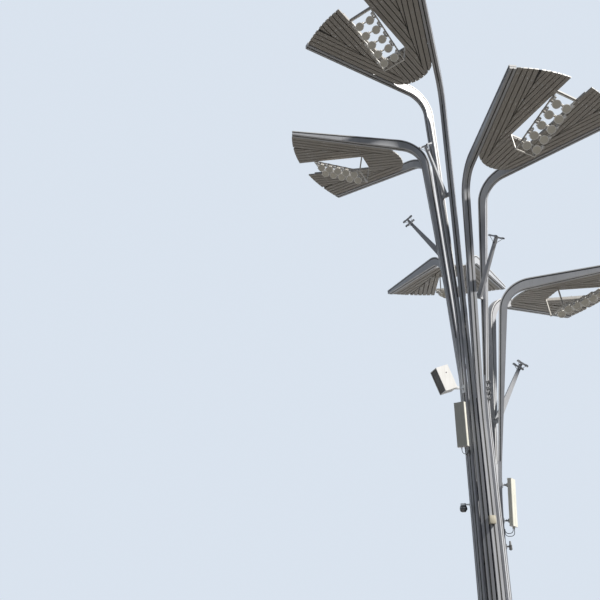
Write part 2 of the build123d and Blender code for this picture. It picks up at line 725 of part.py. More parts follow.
def dome_camera_bracket(bar):
    """Seat plate, arm and cap; the cap's bore takes the camera's spindle."""
    made = seat(bar, CAMERA, CLAMP_HEIGHT, CLAMP_HEIGHT, CLAMP_PLATE) + bracket_arm(bar, CAMERA, CAMERA_REACH)
    cap = Cylinder(CAMERA_CAP, CAMERA_CAP_HEIGHT)
    bore = Pos(0, 0, -CAMERA_CAP_HEIGHT / 2) * Cylinder(CAMERA_SPINDLE + RUNNING, CAMERA_CAP_HEIGHT)
    return (made + camera_place(bar) * cap - camera_place(bar) * bore).clean()


def dome_camera(bar):
    """Housing that pans under the cap on its spindle: a faceted drum with a nose."""
    profile = make_face(
        Polyline(
            (0, 0), (CAMERA_SHOULDER, 0), (CAMERA_RADIUS, -CAMERA_TALL * 0.35), (CAMERA_RADIUS, -CAMERA_TALL * 0.6),
            (CAMERA_NOSE, -CAMERA_TALL), (0, -CAMERA_TALL), close=True,
        )
    )
    housing = revolve(Plane.XZ * profile, Axis.Z)
    spindle = Cylinder(
        CAMERA_SPINDLE, CAMERA_GAP + CAMERA_CAP_HEIGHT / 2, align=(Align.CENTER, Align.CENTER, Align.MIN)
    )
    down = Pos(0, 0, -CAMERA_CAP_HEIGHT / 2 - CAMERA_GAP)
    return camera_place(bar) * down * (housing + spindle)


def junction_box(bar):
    """Small box with rounded edges, flat on a bar and over the gap beside it."""
    box = Box(JUNCTION_DEPTH, JUNCTION_WIDTH, JUNCTION_HEIGHT, align=(Align.MIN, Align.CENTER, Align.CENTER))
    box = fillet(box.edges().filter_by(Axis.X), JUNCTION_ROUND)
    low = JUNCTION_BOX - JUNCTION_HEIGHT / 2
    clear = lean_between(bar, JUNCTION_BOX, low) + lean_between(bar, JUNCTION_BOX, low + JUNCTION_HEIGHT)
    return on_bar(bar, JUNCTION_BOX) * Pos(clear, -JUNCTION_SHIFT, 0) * box


def sensor(bar):
    """Clamp, short arm and an upright housing that narrows to the top."""
    made = seat(bar, SENSOR, CLAMP_HEIGHT, CLAMP_HEIGHT, CLAMP_PLATE) + bracket_arm(bar, SENSOR, SENSOR_REACH)
    wide = RegularPolygon(SENSOR_RADIUS, 8)
    narrow = Pos(0, 0, SENSOR_HEIGHT) * RegularPolygon(SENSOR_RADIUS / 2, 8)
    housing = loft([wide, narrow], ruled=True)
    return (made + on_bar(bar, SENSOR) * Pos(SENSOR_REACH, 0, SENSOR_LIFT - SENSOR_HEIGHT / 2) * housing).clean()


one_slats = slats()
one_ribs = ribs()
one_backing = backing()
one_tray = lamp_tray()
all_bars = []
for name, turn, rank in BRANCHES:
    here = place(turn, rank)
    left, right = Bar(turn, rank, 1), Bar(turn, rank, -1)
    all_bars += [left, right]
    save(f"{name}_left_arm", left.solid())
    save(f"{name}_right_arm", right.solid())
    save(f"{name}_slats", *[here * slat for slat in one_slats])
    save(f"{name}_backing", here * one_backing)
    save(f"{name}_ribs", here * one_ribs)
    save(f"{name}_lamp_tray", here * one_tray)
    save(f"{name}_floodlights", *[here * lamp for lamp in floodlights(turn)])
    save(f"{name}_spot_arm", here * spot_arm(rank))
save("base_flange", base_flange())
save("central_mast", central_mast(all_bars))

left_carrier = Bar(3, 4, -1)
right_carrier = Bar(0, 0, -1)
front_carrier = Bar(4, 2, -1)
camera_carrier = Bar(2, 3, 1)
save("left_antenna", antenna(left_carrier, LEFT_ANTENNA, LEFT_ANTENNA_TURN))
save("left_antenna_brackets", *antenna_brackets(left_carrier, LEFT_ANTENNA, LEFT_ANTENNA_TURN))
save("left_jumpers", *jumpers(left_carrier, LEFT_ANTENNA, LEFT_ANTENNA_TURN))
save("right_antenna", antenna(right_carrier, RIGHT_ANTENNA, RIGHT_ANTENNA_TURN))
save("right_antenna_brackets", *antenna_brackets(right_carrier, RIGHT_ANTENNA, RIGHT_ANTENNA_TURN))
save("right_jumpers", *jumpers(right_carrier, RIGHT_ANTENNA, RIGHT_ANTENNA_TURN))
save("loudspeaker_bracket", loudspeaker_bracket(left_carrier))
save("loudspeaker", loudspeaker(left_carrier))
save("dome_camera_bracket", dome_camera_bracket(camera_carrier))
save("dome_camera", dome_camera(camera_carrier))
save("junction_box", junction_box(front_carrier))
save("sensor", sensor(right_carrier))
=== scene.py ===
# %% [markdown]
# A street light that grows like a plant: ten grooved steel bars rise close together
# as one stem, part in pairs and curve over, and each pair holds a slatted leaf with
# a hanging tray of floodlights. The engineering model arrives first as a fixed frame,
# and everything made here is fitted to it. All lengths are metres and +Z is up.

# %% Load the frame
import bpy
import bmesh
from math import atan, cos, degrees, pi, radians, sin, sqrt, tan
from mathutils import Matrix, Vector


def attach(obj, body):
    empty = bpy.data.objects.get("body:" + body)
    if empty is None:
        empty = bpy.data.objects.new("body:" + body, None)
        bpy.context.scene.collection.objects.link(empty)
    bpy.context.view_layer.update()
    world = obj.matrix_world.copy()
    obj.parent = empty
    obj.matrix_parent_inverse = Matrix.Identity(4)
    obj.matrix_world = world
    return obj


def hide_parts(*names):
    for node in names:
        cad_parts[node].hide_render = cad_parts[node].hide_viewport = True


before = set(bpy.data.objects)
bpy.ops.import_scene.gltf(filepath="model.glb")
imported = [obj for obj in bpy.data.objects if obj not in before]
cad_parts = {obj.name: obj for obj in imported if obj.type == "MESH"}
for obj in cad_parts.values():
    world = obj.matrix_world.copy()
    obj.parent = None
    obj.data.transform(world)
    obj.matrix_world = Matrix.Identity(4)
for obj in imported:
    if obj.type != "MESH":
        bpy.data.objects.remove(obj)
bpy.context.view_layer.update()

# %% [markdown]
# The camera stands where a person stood who looked up at the leaves, 25 metres from
# the stem and at eye height. The angles come from the stem's lean in the picture and
# from the point overhead where all upright edges meet.

# %% Camera
EYE = (-10.876, -22.51, 1.6)
LOOK_UP, LOOK_ASIDE = 24.51, -12.2
scene = bpy.context.scene
camera_data = bpy.data.cameras.new("camera")
camera_data.lens = 45
camera_data.sensor_width = 36
camera_data.clip_end = 400
camera = bpy.data.objects.new("camera", camera_data)
camera.location = EYE
camera.rotation_euler = (radians(90 + LOOK_UP), 0, radians(LOOK_ASIDE))
scene.collection.objects.link(camera)
scene.camera = camera
scene.view_settings.view_transform = "Standard"
print("camera:", camera_data.lens, "mm lens")

# %% [markdown]
# Studio light for something as tall as a house: one broad sun, high on the right of
# the camera, and a pale room all round. The room shines gently and a little blue on
# the object, but is paler for the camera and in reflections, which the Light Path node
# decides. The floor does the same: it throws up only a little warm light, so the
# undersides of the leaves stay dark, and still looks pale.

# %% Sun and room


def add_node(tree, kind, settings=None, **values):
    """A shader node with its options and socket values set."""
    node = tree.nodes.new("ShaderNode" + kind)
    for option, value in (settings or {}).items():
        setattr(node, option, value)
    for label, value in values.items():
        node.inputs[label.replace("_", " ")].default_value = value
    return node


def seen_directly(tree):
    """A mask that is 1 for camera, mirror and glass rays, and 0 for soft light."""
    rays = add_node(tree, "LightPath")
    first = add_node(tree, "Math", {"operation": "MAXIMUM"})
    tree.links.new(rays.outputs["Is Camera Ray"], first.inputs[0])
    tree.links.new(rays.outputs["Is Glossy Ray"], first.inputs[1])
    both = add_node(tree, "Math", {"operation": "MAXIMUM"})
    tree.links.new(first.outputs[0], both.inputs[0])
    tree.links.new(rays.outputs["Is Transmission Ray"], both.inputs[1])
    return both.outputs[0]


SUN_HEIGHT, SUN_TURN = radians(45), radians(55)
sun_data = bpy.data.lights.new("key_light", "SUN")
sun_data.energy = 6.3
sun_data.angle = radians(3)
sun_data.color = (1.0, 0.97, 0.92)
sun = bpy.data.objects.new("key_light", sun_data)
sun.rotation_euler = (SUN_HEIGHT, 0, SUN_TURN)
scene.collection.objects.link(sun)

world = bpy.data.worlds.new("room")
scene.world = world
world.use_nodes = True
room = world.node_tree
room.nodes.clear()
room_light = add_node(room, "Background", Color=(0.62, 0.76, 1.0, 1), Strength=0.16)
room_seen = add_node(room, "Background", Color=(0.7, 0.77, 0.86, 1), Strength=1.0)
choose = add_node(room, "MixShader")
room.links.new(seen_directly(room), choose.inputs[0])
room.links.new(room_light.outputs[0], choose.inputs[1])
room.links.new(room_seen.outputs[0], choose.inputs[2])
room.links.new(choose.outputs[0], add_node(room, "OutputWorld").inputs["Surface"])
print("sun:", round(sun_data.energy, 1), "room:", len(room.nodes), "nodes")

# %% [markdown]
# The floor is one wide disc, a millimetre below the flange so that they never share a
# plane. It belongs to the stage and not to the object.

# %% Floor
FLOOR_RADIUS, FLOOR_LEVEL = 90, -0.001
bpy.ops.mesh.primitive_circle_add(
    vertices=64, radius=FLOOR_RADIUS, fill_type="NGON", location=(0, 0, FLOOR_LEVEL))
floor = bpy.context.active_object
floor.name = "floor"
floor_paint = bpy.data.materials.new("floor_paint")
floor_paint.use_nodes = True
tree = floor_paint.node_tree
pale = tree.nodes["Principled BSDF"]
pale.inputs["Base Color"].default_value = (0.7, 0.71, 0.72, 1)
pale.inputs["Roughness"].default_value = 0.9
dim = add_node(tree, "BsdfDiffuse", Color=(0.125, 0.117, 0.106, 1))
choose = add_node(tree, "MixShader")
tree.links.new(seen_directly(tree), choose.inputs[0])
tree.links.new(dim.outputs[0], choose.inputs[1])
tree.links.new(pale.outputs[0], choose.inputs[2])
tree.links.new(choose.outputs[0], tree.nodes["Material Output"].inputs["Surface"])
floor.data.materials.append(floor_paint)
print("floor and light ready")

# %% [markdown]
# Weather leaves the same marks on every finish, so each mark is one node group that
# all materials share: cloudy patches where paint has faded, thin streaks where rain
# runs down, dust that settles on what faces up, and a fine skin for the bump. Groups
# keep an effect in one place, and each material sets its own amounts.

# %% Node group helpers


def new_group(name, inputs, outputs):
    """A shader node group with named values in and out, and its two end nodes."""
    group = bpy.data.node_groups.new(name, "ShaderNodeTree")
    for label, value in inputs.items():
        socket = group.interface.new_socket(name=label, in_out="INPUT", socket_type="NodeSocketFloat")
        socket.default_value = value
    for label in outputs:
        group.interface.new_socket(name=label, in_out="OUTPUT", socket_type="NodeSocketFloat")
    return group, group.nodes.new("NodeGroupInput"), group.nodes.new("NodeGroupOutput")


def ramp_between(tree, low, high):
    """A Map Range node that turns what lies between low and high into 0 to 1."""
    node = add_node(tree, "MapRange")
    node.inputs["From Min"].default_value = low
    node.inputs["From Max"].default_value = high
    return node


# %% [markdown]
# Patches and streaks are noise. For streaks the noise is squeezed sideways and
# stretched along Z, so it draws long thin runs. Object coordinates are metres here,
# so a scale of 2 means a mark about half a metre across.

# %% Patches and streaks as groups
patches, g_in, g_out = new_group("patches", {"Scale": 2.0, "Detail": 6.0}, ["Mask"])
where = add_node(patches, "TexCoord")
cloud = add_node(patches, "TexNoise", Roughness=0.6)
patches.links.new(where.outputs["Object"], cloud.inputs["Vector"])
patches.links.new(g_in.outputs["Scale"], cloud.inputs["Scale"])
patches.links.new(g_in.outputs["Detail"], cloud.inputs["Detail"])
spread = ramp_between(patches, 0.35, 0.65)
patches.links.new(cloud.outputs["Fac"], spread.inputs["Value"])
patches.links.new(spread.outputs["Result"], g_out.inputs["Mask"])

streaks, g_in, g_out = new_group("streaks", {"Width": 30.0, "Length": 0.6}, ["Mask"])
where = add_node(streaks, "TexCoord")
stretch = add_node(streaks, "VectorMath", {"operation": "MULTIPLY"})
scales = add_node(streaks, "CombineXYZ")
streaks.links.new(g_in.outputs["Width"], scales.inputs["X"])
streaks.links.new(g_in.outputs["Width"], scales.inputs["Y"])
streaks.links.new(g_in.outputs["Length"], scales.inputs["Z"])
streaks.links.new(where.outputs["Object"], stretch.inputs[0])
streaks.links.new(scales.outputs[0], stretch.inputs[1])
runs = add_node(streaks, "TexNoise", Scale=1.0, Detail=4.0)
streaks.links.new(stretch.outputs[0], runs.inputs["Vector"])
spread = ramp_between(streaks, 0.5, 0.72)
streaks.links.new(runs.outputs["Fac"], spread.inputs["Value"])
streaks.links.new(spread.outputs["Result"], g_out.inputs["Mask"])
print("patches:", len(patches.nodes), "nodes, streaks:", len(streaks.nodes), "nodes")

# %% [markdown]
# Dust lies on what faces up, so the Z of the surface's normal makes its mask, broken up
# by a fine noise. The skin is the grain of a sprayed coat and only feeds the bump.

# %% Dust and skin as groups
dust, g_in, g_out = new_group("dust", {"Amount": 0.5}, ["Mask"])
facing = add_node(dust, "NewGeometry")
split = add_node(dust, "SeparateXYZ")
dust.links.new(facing.outputs["Normal"], split.inputs[0])
upward = ramp_between(dust, 0.3, 0.95)
dust.links.new(split.outputs["Z"], upward.inputs["Value"])
speck = add_node(dust, "TexNoise", Scale=14.0, Detail=5.0)
where = add_node(dust, "TexCoord")
dust.links.new(where.outputs["Object"], speck.inputs["Vector"])
mixed = add_node(dust, "Math", {"operation": "MULTIPLY"})
dust.links.new(upward.outputs["Result"], mixed.inputs[0])
dust.links.new(speck.outputs["Fac"], mixed.inputs[1])
scaled = add_node(dust, "Math", {"operation": "MULTIPLY"})
dust.links.new(mixed.outputs[0], scaled.inputs[0])
dust.links.new(g_in.outputs["Amount"], scaled.inputs[1])
dust.links.new(scaled.outputs[0], g_out.inputs["Mask"])

skin, g_in, g_out = new_group("skin", {"Scale": 300.0}, ["Height"])
where = add_node(skin, "TexCoord")
grain = add_node(skin, "TexNoise", Detail=3.0)
skin.links.new(where.outputs["Object"], grain.inputs["Vector"])
skin.links.new(g_in.outputs["Scale"], grain.inputs["Scale"])
skin.links.new(grain.outputs["Fac"], g_out.inputs["Height"])
print("node groups:", len(bpy.data.node_groups))

# %% [markdown]
# One recipe makes every finish: a base colour, a faded colour in patches, a darker
# colour in the streaks, and pale dust on top. Roughness follows the patches, because
# faded paint has lost its gloss. Colours that never change over the surface stay on
# the shader's own sockets.

# %% The finish recipe


def use_group(tree, group, **values):
    node = tree.nodes.new("ShaderNodeGroup")
    node.node_tree = group
    for label, value in values.items():
        node.inputs[label].default_value = value
    return node


def mix_colour(tree, mask, below, above):
    """Mix node between two colours, each a socket or a plain colour."""
    node = add_node(tree, "Mix", {"data_type": "RGBA"})
    tree.links.new(mask, node.inputs[0])
    for place, value in ((6, below), (7, above)):
        if isinstance(value, tuple):
            node.inputs[place].default_value = (*value, 1)
        else:
            tree.links.new(value, node.inputs[place])
    return node.outputs[2]


def times(tree, value, factor):
    node = add_node(tree, "Math", {"operation": "MULTIPLY"})
    tree.links.new(value, node.inputs[0])
    node.inputs[1].default_value = factor
    return node.outputs[0]


def finish(name, base, faded, stain, rough=(0.35, 0.55), metal=0.0, coat=0.0, patch=1.6, streak=0.5,
           dusty=0.5, grain_scale=300.0, bump=0.02, dust_colour=(0.42, 0.4, 0.36)):
    """A weathered finish from the shared groups; returns the material."""
    made = bpy.data.materials.new(name)
    made.use_nodes = True
    tree = made.node_tree
    shader = tree.nodes["Principled BSDF"]
    shader.inputs["Metallic"].default_value = metal
    shader.inputs["Coat Weight"].default_value = coat
    shader.inputs["Coat Roughness"].default_value = 0.2
    cloud_mask = use_group(tree, patches, Scale=patch).outputs["Mask"]
    run_mask = use_group(tree, streaks).outputs["Mask"]
    dust_mask = use_group(tree, dust, Amount=dusty).outputs["Mask"]
    colour = mix_colour(tree, cloud_mask, base, faded)
    colour = mix_colour(tree, times(tree, run_mask, streak), colour, stain)
    colour = mix_colour(tree, dust_mask, colour, dust_colour)
    tree.links.new(colour, shader.inputs["Base Color"])
    gloss = add_node(tree, "MapRange")
    gloss.inputs["To Min"].default_value = rough[0]
    gloss.inputs["To Max"].default_value = rough[1]
    tree.links.new(cloud_mask, gloss.inputs["Value"])
    tree.links.new(gloss.outputs["Result"], shader.inputs["Roughness"])
    bumps = add_node(tree, "Bump", Strength=0.35, Distance=bump * 0.05)
    tree.links.new(use_group(tree, skin, Scale=grain_scale).outputs["Height"], bumps.inputs["Height"])
    tree.links.new(bumps.outputs["Normal"], shader.inputs["Normal"])
    return made


# %% [markdown]
# The stem and arms wear a satin grey paint that looks dark blue grey in shade and
# almost white in the sun, so it is a plain mid grey with a fairly smooth surface. The
# slats are a warmer, browner grey and more matt. Small equipment keeps its maker's
# colours: pale housings, a white loudspeaker, a smoked camera, beige boxes and zinc
# brackets.

# %% Finishes
arm_paint = finish("arm_paint", (0.45, 0.463, 0.49), (0.52, 0.532, 0.56), (0.25, 0.255, 0.265),
                   rough=(0.32, 0.42), streak=0.2, patch=0.8)
slat_paint = finish("slat_paint", (0.37, 0.351, 0.325), (0.44, 0.418, 0.387), (0.2, 0.187, 0.169),
                    rough=(0.52, 0.68), streak=0.3, patch=2.4)
# Near-black: painted shade on the leaf backing behind the slat gaps and on the seals in the arm grooves.
backing_and_shade_black = finish("backing_and_shade_black", (0.03, 0.029, 0.028), (0.045, 0.043, 0.041), (0.018, 0.017, 0.016),
                       rough=(0.7, 0.85), streak=0.4)
rib_paint = finish("rib_paint", (0.38, 0.372, 0.36), (0.44, 0.432, 0.418), (0.2, 0.194, 0.185),
                   rough=(0.5, 0.66), streak=0.4)
tray_paint = finish("tray_paint", (0.62, 0.6, 0.565), (0.7, 0.68, 0.64), (0.36, 0.34, 0.3),
                    rough=(0.42, 0.58), metal=0.1, streak=0.35, patch=5.0)
lamp_paint = finish("lamp_paint", (0.6, 0.585, 0.55), (0.68, 0.66, 0.62), (0.34, 0.33, 0.3),
                    rough=(0.4, 0.56), metal=0.1, streak=0.3, patch=6.0)
bezel = finish("bezel", (0.85, 0.84, 0.8), (0.9, 0.89, 0.86), (0.6, 0.58, 0.53),
               rough=(0.3, 0.45), metal=0.1, streak=0.2, patch=8.0)
zinc = finish("zinc", (0.5, 0.51, 0.52), (0.6, 0.61, 0.62), (0.28, 0.28, 0.27),
              rough=(0.38, 0.55), metal=0.5, streak=0.3, patch=24.0)
radome = finish("radome", (0.68, 0.68, 0.6), (0.74, 0.735, 0.66), (0.5, 0.485, 0.41),
                rough=(0.5, 0.65), streak=0.4, patch=3.0)
speaker_shell = finish("speaker_shell", (0.93, 0.925, 0.9), (0.95, 0.945, 0.93), (0.56, 0.54, 0.48),
                       rough=(0.42, 0.58), streak=0.25, patch=3.0)
camera_shell = finish("camera_shell", (0.035, 0.038, 0.045), (0.05, 0.053, 0.06), (0.02, 0.02, 0.022),
                      rough=(0.22, 0.4), coat=0.3, streak=0.3, patch=8.0)
box_shell = finish("box_shell", (0.56, 0.52, 0.41), (0.62, 0.58, 0.47), (0.36, 0.32, 0.24),
                   rough=(0.48, 0.6), streak=0.4, patch=6.0)
sensor_shell = finish("sensor_shell", (0.2, 0.2, 0.205), (0.26, 0.26, 0.26), (0.1, 0.1, 0.1),
                      rough=(0.45, 0.6), streak=0.3, patch=8.0)
cable_rubber = finish("cable_rubber", (0.02, 0.02, 0.022), (0.035, 0.035, 0.037), (0.012, 0.012, 0.012),
                      rough=(0.5, 0.65), streak=0.2, patch=30.0)
# Pale plastic for caps, boxes and brackets; on the slat ends it is also a painted highlight.
cap_plastic_and_highlight = finish("cap_plastic_and_highlight", (0.72, 0.71, 0.68), (0.78, 0.77, 0.75), (0.45, 0.43, 0.39),
                     rough=(0.4, 0.55), streak=0.25, patch=6.0)
# Pale trim paint: a painted highlight on the arm rims and tips, and the plain colour of the clamp lugs.
trim_and_highlight_paint = finish("trim_and_highlight_paint", (0.66, 0.665, 0.67), (0.74, 0.745, 0.75), (0.42, 0.42, 0.42),
                    rough=(0.4, 0.52), streak=0.2, patch=1.2)
# Dark paint for rods, nuts and plates; the same near-black also paints shade on the central mast and the
# shadow strip under the arm rims.
dark_fittings_and_shade = finish("dark_fittings_and_shade", (0.05, 0.05, 0.052), (0.075, 0.075, 0.078), (0.025, 0.025, 0.026),
                       rough=(0.4, 0.55), metal=0.2, streak=0.2, patch=20.0)
print("materials:", len(bpy.data.materials))

# %% [markdown]
# Each node of the frame keeps its shape and only gets its finish. The name says what
# it is, so a short table from the end of the name to the finish dresses them all.

# %% Dress the frame's nodes
# The central mast is near-black as painted shade between the bars, and the backing is near-black as painted
# shade behind the slat gaps.
FINISH_BY_ENDING = {
    "_arm": arm_paint, "base_flange": arm_paint, "central_mast": dark_fittings_and_shade,
    "_slats": slat_paint, "_backing": backing_and_shade_black, "_ribs": rib_paint,
    "_lamp_tray": tray_paint, "_floodlights": lamp_paint,
    "_antenna": radome, "brackets": zinc, "bracket": zinc, "_jumpers": cable_rubber,
    "loudspeaker": speaker_shell, "dome_camera": camera_shell, "junction_box": box_shell,
    "sensor": sensor_shell,
}
for node_name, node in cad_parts.items():
    endings = [end for end in FINISH_BY_ENDING if node_name.endswith(end)]
    node.data.materials.clear()
    node.data.materials.append(FINISH_BY_ENDING[max(endings, key=len)])
print("dressed", len(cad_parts), "nodes")

# %% [markdown]
# Small tools for modelling by hand. Operators work on whatever is selected, so each
# step starts by deselecting everything, and faces are then picked by where they are
# or which way they look. A finished piece keeps its place in its mesh and its object
# stays at the origin.

# %% Modelling tools


def leave_edit_mode():
    if bpy.context.object and bpy.context.object.mode != "OBJECT":
        bpy.ops.object.mode_set(mode="OBJECT")


def deselect():
    leave_edit_mode()
    bpy.ops.object.select_all(action="DESELECT")


def activate(*pieces):
    deselect()
    for piece in pieces:
        piece.select_set(True)
    bpy.context.view_layer.objects.active = pieces[0]


def start(kind, **settings):
    """A new primitive, alone in the selection."""
    deselect()
    getattr(bpy.ops.mesh, f"primitive_{kind}_add")(**settings)
    return bpy.context.active_object


def block(middle, size):
    """A box with its size and place in its mesh."""
    made = start("cube", size=1, location=middle)
    made.scale = size
    bpy.ops.object.transform_apply(location=True, scale=True)
    return made


def edit_all(piece):
    """Edit mode with every face selected."""
    activate(piece)
    bpy.ops.object.mode_set(mode="EDIT")
    bpy.ops.mesh.select_all(action="SELECT")


def edit_faces(piece, rule):
    """Edit mode with only the faces that the rule picks selected."""
    activate(piece)
    bpy.ops.object.mode_set(mode="EDIT")
    bpy.ops.mesh.select_mode(type="FACE")
    bpy.ops.mesh.select_all(action="DESELECT")
    mesh = bmesh.from_edit_mesh(piece.data)
    for face in mesh.faces:
        face.select_set(bool(rule(face)))
    bmesh.update_edit_mesh(piece.data)


def draw_out(x, y, z):
    """Extrude the picked faces by a distance each way."""
    bpy.ops.mesh.extrude_region_move(TRANSFORM_OT_translate={"value": (x, y, z)})


def push(distance, scale=1.0):
    """Extrude the picked faces up along Z and scale the new ones about their middle."""
    draw_out(0, 0, distance)
    if scale != 1.0:
        bpy.ops.transform.resize(value=(scale, scale, 1))


def sunk_panel(rim, way):
    """Inset the picked faces and move what is inside the rim."""
    bpy.ops.mesh.inset(thickness=rim)
    bpy.ops.transform.translate(value=way)


def apply_modifier(piece, kind, **settings):
    activate(piece)
    modifier = piece.modifiers.new(kind.lower(), kind)
    for option, value in settings.items():
        setattr(modifier, option, value)
    bpy.ops.object.modifier_apply(modifier=modifier.name)


def bevel(piece, width):
    apply_modifier(piece, "BEVEL", width=width, segments=2, limit_method="ANGLE", angle_limit=radians(40))


def refinish(piece, *materials):
    """Give a piece these materials and no others."""
    piece.data.materials.clear()
    for material in materials:
        piece.data.materials.append(material)


def settle(piece):
    """Put the object's place into its mesh and smooth what is rounded."""
    activate(piece)
    bpy.ops.object.transform_apply(location=True, rotation=True, scale=True)
    bpy.ops.object.shade_smooth_by_angle(angle=radians(35))


def placed_copy(piece, matrix):
    """A copy with its own mesh, moved by a matrix."""
    twin = piece.copy()
    twin.data = piece.data.copy()
    twin.data.transform(matrix)
    scene.collection.objects.link(twin)
    return twin


def merged_copy(node, matrix):
    """A placed copy of a frame's node in edit mode, with its loose triangles merged."""
    twin = placed_copy(node, matrix)
    edit_all(twin)
    bpy.ops.mesh.remove_doubles(threshold=0.0002)
    return twin


def joined(pieces, name):
    activate(*pieces)
    if len(pieces) > 1:
        bpy.ops.object.join()
    whole = bpy.context.active_object
    whole.name = name
    whole.data.name = name
    return whole


def belongs(piece, body):
    """Hang a finished piece on its body."""
    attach(piece, body)
    print(piece.name, "on", body, "-", len(piece.data.polygons), "faces")
    return piece


# %% [markdown]
# The leaves share one shape at five heights and turns. Points on a leaf are easiest
# in its own frame: x runs outwards along the middle, y sideways and z up through the
# slats. The tray has a frame of its own, which starts at the rib near the tip and
# slopes down towards the stem. These are the sizes that the frame was built from.

# %% Where leaves and trays are
BRANCHES = (("lowest", 0, 0), ("lower", 1, 1), ("middle", 4, 2), ("upper", 2, 3), ("top", 3, 4))
LEAF_RADIUS, LEAF_TILT, LEAF_LENGTH = 2.09, radians(9.5), 3.63
LOWEST_LEAF, LEAF_STEP = 12.95, 2.1
SLAT_LOW, SLAT_TOP = 0.015, 0.06
SLOT_HALF, END_RIB = 0.475, 3.53
TRAY_DROP, TRAY_NEAR, TRAY_RAIL = 0.68, 1.4, 0.04
TRAY_HALF = SLOT_HALF - 0.01
TRAY_ANGLE = atan(TRAY_DROP / (END_RIB - TRAY_NEAR))
LAMP_ROWS, LAMP_FIRST, LAMP_PITCH, LAMP_COLUMN = 5, 0.32, 0.4, 0.23


def moved(x, y, z):
    return Matrix.Translation((x, y, z))


def turned(angle, axis):
    return Matrix.Rotation(angle, 4, axis)


def branch_turn(turn):
    return turned(turn * 2 * pi / len(BRANCHES), "Z")


def leaf_frame(turn, rank):
    height = LOWEST_LEAF + rank * LEAF_STEP
    return branch_turn(turn) @ moved(LEAF_RADIUS, 0, height) @ turned(-LEAF_TILT, "Y")


def tray_frame(turn, rank):
    return leaf_frame(turn, rank) @ moved(END_RIB, 0, SLAT_TOP) @ turned(-TRAY_ANGLE, "Y")


print("the trays slope", round(degrees(TRAY_ANGLE), 1), "degrees against their leaves")

# %% [markdown]
# A floodlight's glass is frosted, with fine ribs moulded across it. The ribs are a sine
# of the distance from the corner of the piece's own map, fed to the bump. Dirt makes
# the glass darker and less glossy in patches, and a thin clear coat keeps it shining.

# %% Floodlight glass
glass = bpy.data.materials.new("lamp_glass")
glass.use_nodes = True
tree = glass.node_tree
shader = tree.nodes["Principled BSDF"]
shader.inputs["Coat Weight"].default_value = 0.6
shader.inputs["Coat Roughness"].default_value = 0.08
dirt = use_group(tree, patches, Scale=9.0).outputs["Mask"]
glass_colour = mix_colour(tree, times(tree, dirt, 0.35), (0.7, 0.67, 0.58), (0.6, 0.57, 0.49))
tree.links.new(glass_colour, shader.inputs["Base Color"])
haze = add_node(tree, "MapRange")
haze.inputs["To Min"].default_value = 0.2
haze.inputs["To Max"].default_value = 0.42
tree.links.new(dirt, haze.inputs["Value"])
tree.links.new(haze.outputs["Result"], shader.inputs["Roughness"])
uv = add_node(tree, "UVMap")
from_corner = add_node(tree, "VectorMath", {"operation": "LENGTH"})
tree.links.new(uv.outputs["UV"], from_corner.inputs[0])
ribs = add_node(tree, "Math", {"operation": "SINE"})
tree.links.new(times(tree, from_corner.outputs["Value"], 900.0), ribs.inputs[0])
rib_bump = add_node(tree, "Bump", Strength=0.25, Distance=0.002)
tree.links.new(ribs.outputs[0], rib_bump.inputs["Height"])
tree.links.new(rib_bump.outputs["Normal"], shader.inputs["Normal"])
print("glass nodes:", len(tree.nodes))

# %% [markdown]
# A floodlight is a shallow round housing with a bright ring, a glass set a little back,
# and a stepped cone behind it. It starts as a cylinder. The back is pushed out in
# steps that narrow towards the neck, and the front is inset and pushed in, so that
# the ring and the glass can be told apart and get materials of their own.

# %% Floodlight housing
LAMP_RADIUS, LAMP_RIM, LAMP_BACK, LAMP_NECK, LAMP_STEM = 0.15, 0.04, 0.08, 0.045, 0.05
BACK_STEPS = ((0.006, 0.94), (0.022, 0.8), (0.004, 0.92), (LAMP_BACK - 0.032, 0.44))
RING_WIDTH, RING_EDGE, GLASS_SINK, GLASS_LEAST = 0.016, 0.004, 0.007, 0.02
lamp = start("cylinder", vertices=28, radius=LAMP_RADIUS, depth=LAMP_RIM, location=(0, 0, LAMP_RIM / 2))
refinish(lamp, lamp_paint, glass, bezel)
edit_faces(lamp, lambda face: face.normal.z > 0.9)
for rise, share in BACK_STEPS:
    push(rise, share)
edit_faces(lamp, lambda face: face.normal.z < -0.9)
bpy.ops.mesh.inset(thickness=RING_WIDTH)
draw_out(0, 0, GLASS_SINK)
bpy.ops.mesh.inset(thickness=RING_EDGE)
leave_edit_mode()
for face in lamp.data.polygons:
    if face.normal.z < -0.9:
        face.material_index = 1 if face.area > GLASS_LEAST else 2
settle(lamp)
print("lamp housing:", len(lamp.data.polygons), "faces")

# %% [markdown]
# Cooling fins stand on the cone, and a bent strap, the yoke, holds the housing at
# both sides and meets the stem above. A fin is a thin box whose upper outer edge is
# pulled in. The yoke starts as a small plate that is extruded round its corners.

# %% Floodlight fins and yoke
FIN_COUNT, FIN_MIDDLE, FIN_SIZE = 10, (0.088, 0, 0.07), (0.1, 0.005, 0.05)
FIN_TOP, FIN_TURN = 0.07, 0.3
YOKE_SIZE, YOKE_SIDE, YOKE_MIDDLE = (0.034, 0.006, 0.03), LAMP_RADIUS + 0.008, 0.02
YOKE_RISE, YOKE_GAUGE, YOKE_LEG = 0.092, 0.006, 0.128
fins = []
for step in range(FIN_COUNT):
    fin = block(FIN_MIDDLE, FIN_SIZE)
    for vertex in fin.data.vertices:
        if vertex.co.z > FIN_MIDDLE[2] and vertex.co.x > FIN_MIDDLE[0]:
            vertex.co.x = FIN_TOP
    fin.data.transform(turned(step * 2 * pi / FIN_COUNT + FIN_TURN, "Z"))
    refinish(fin, lamp_paint)
    fins.append(fin)
yoke = block((0, YOKE_SIDE, YOKE_MIDDLE), YOKE_SIZE)
edit_faces(yoke, lambda face: face.normal.z > 0.9)
draw_out(0, 0, YOKE_RISE)
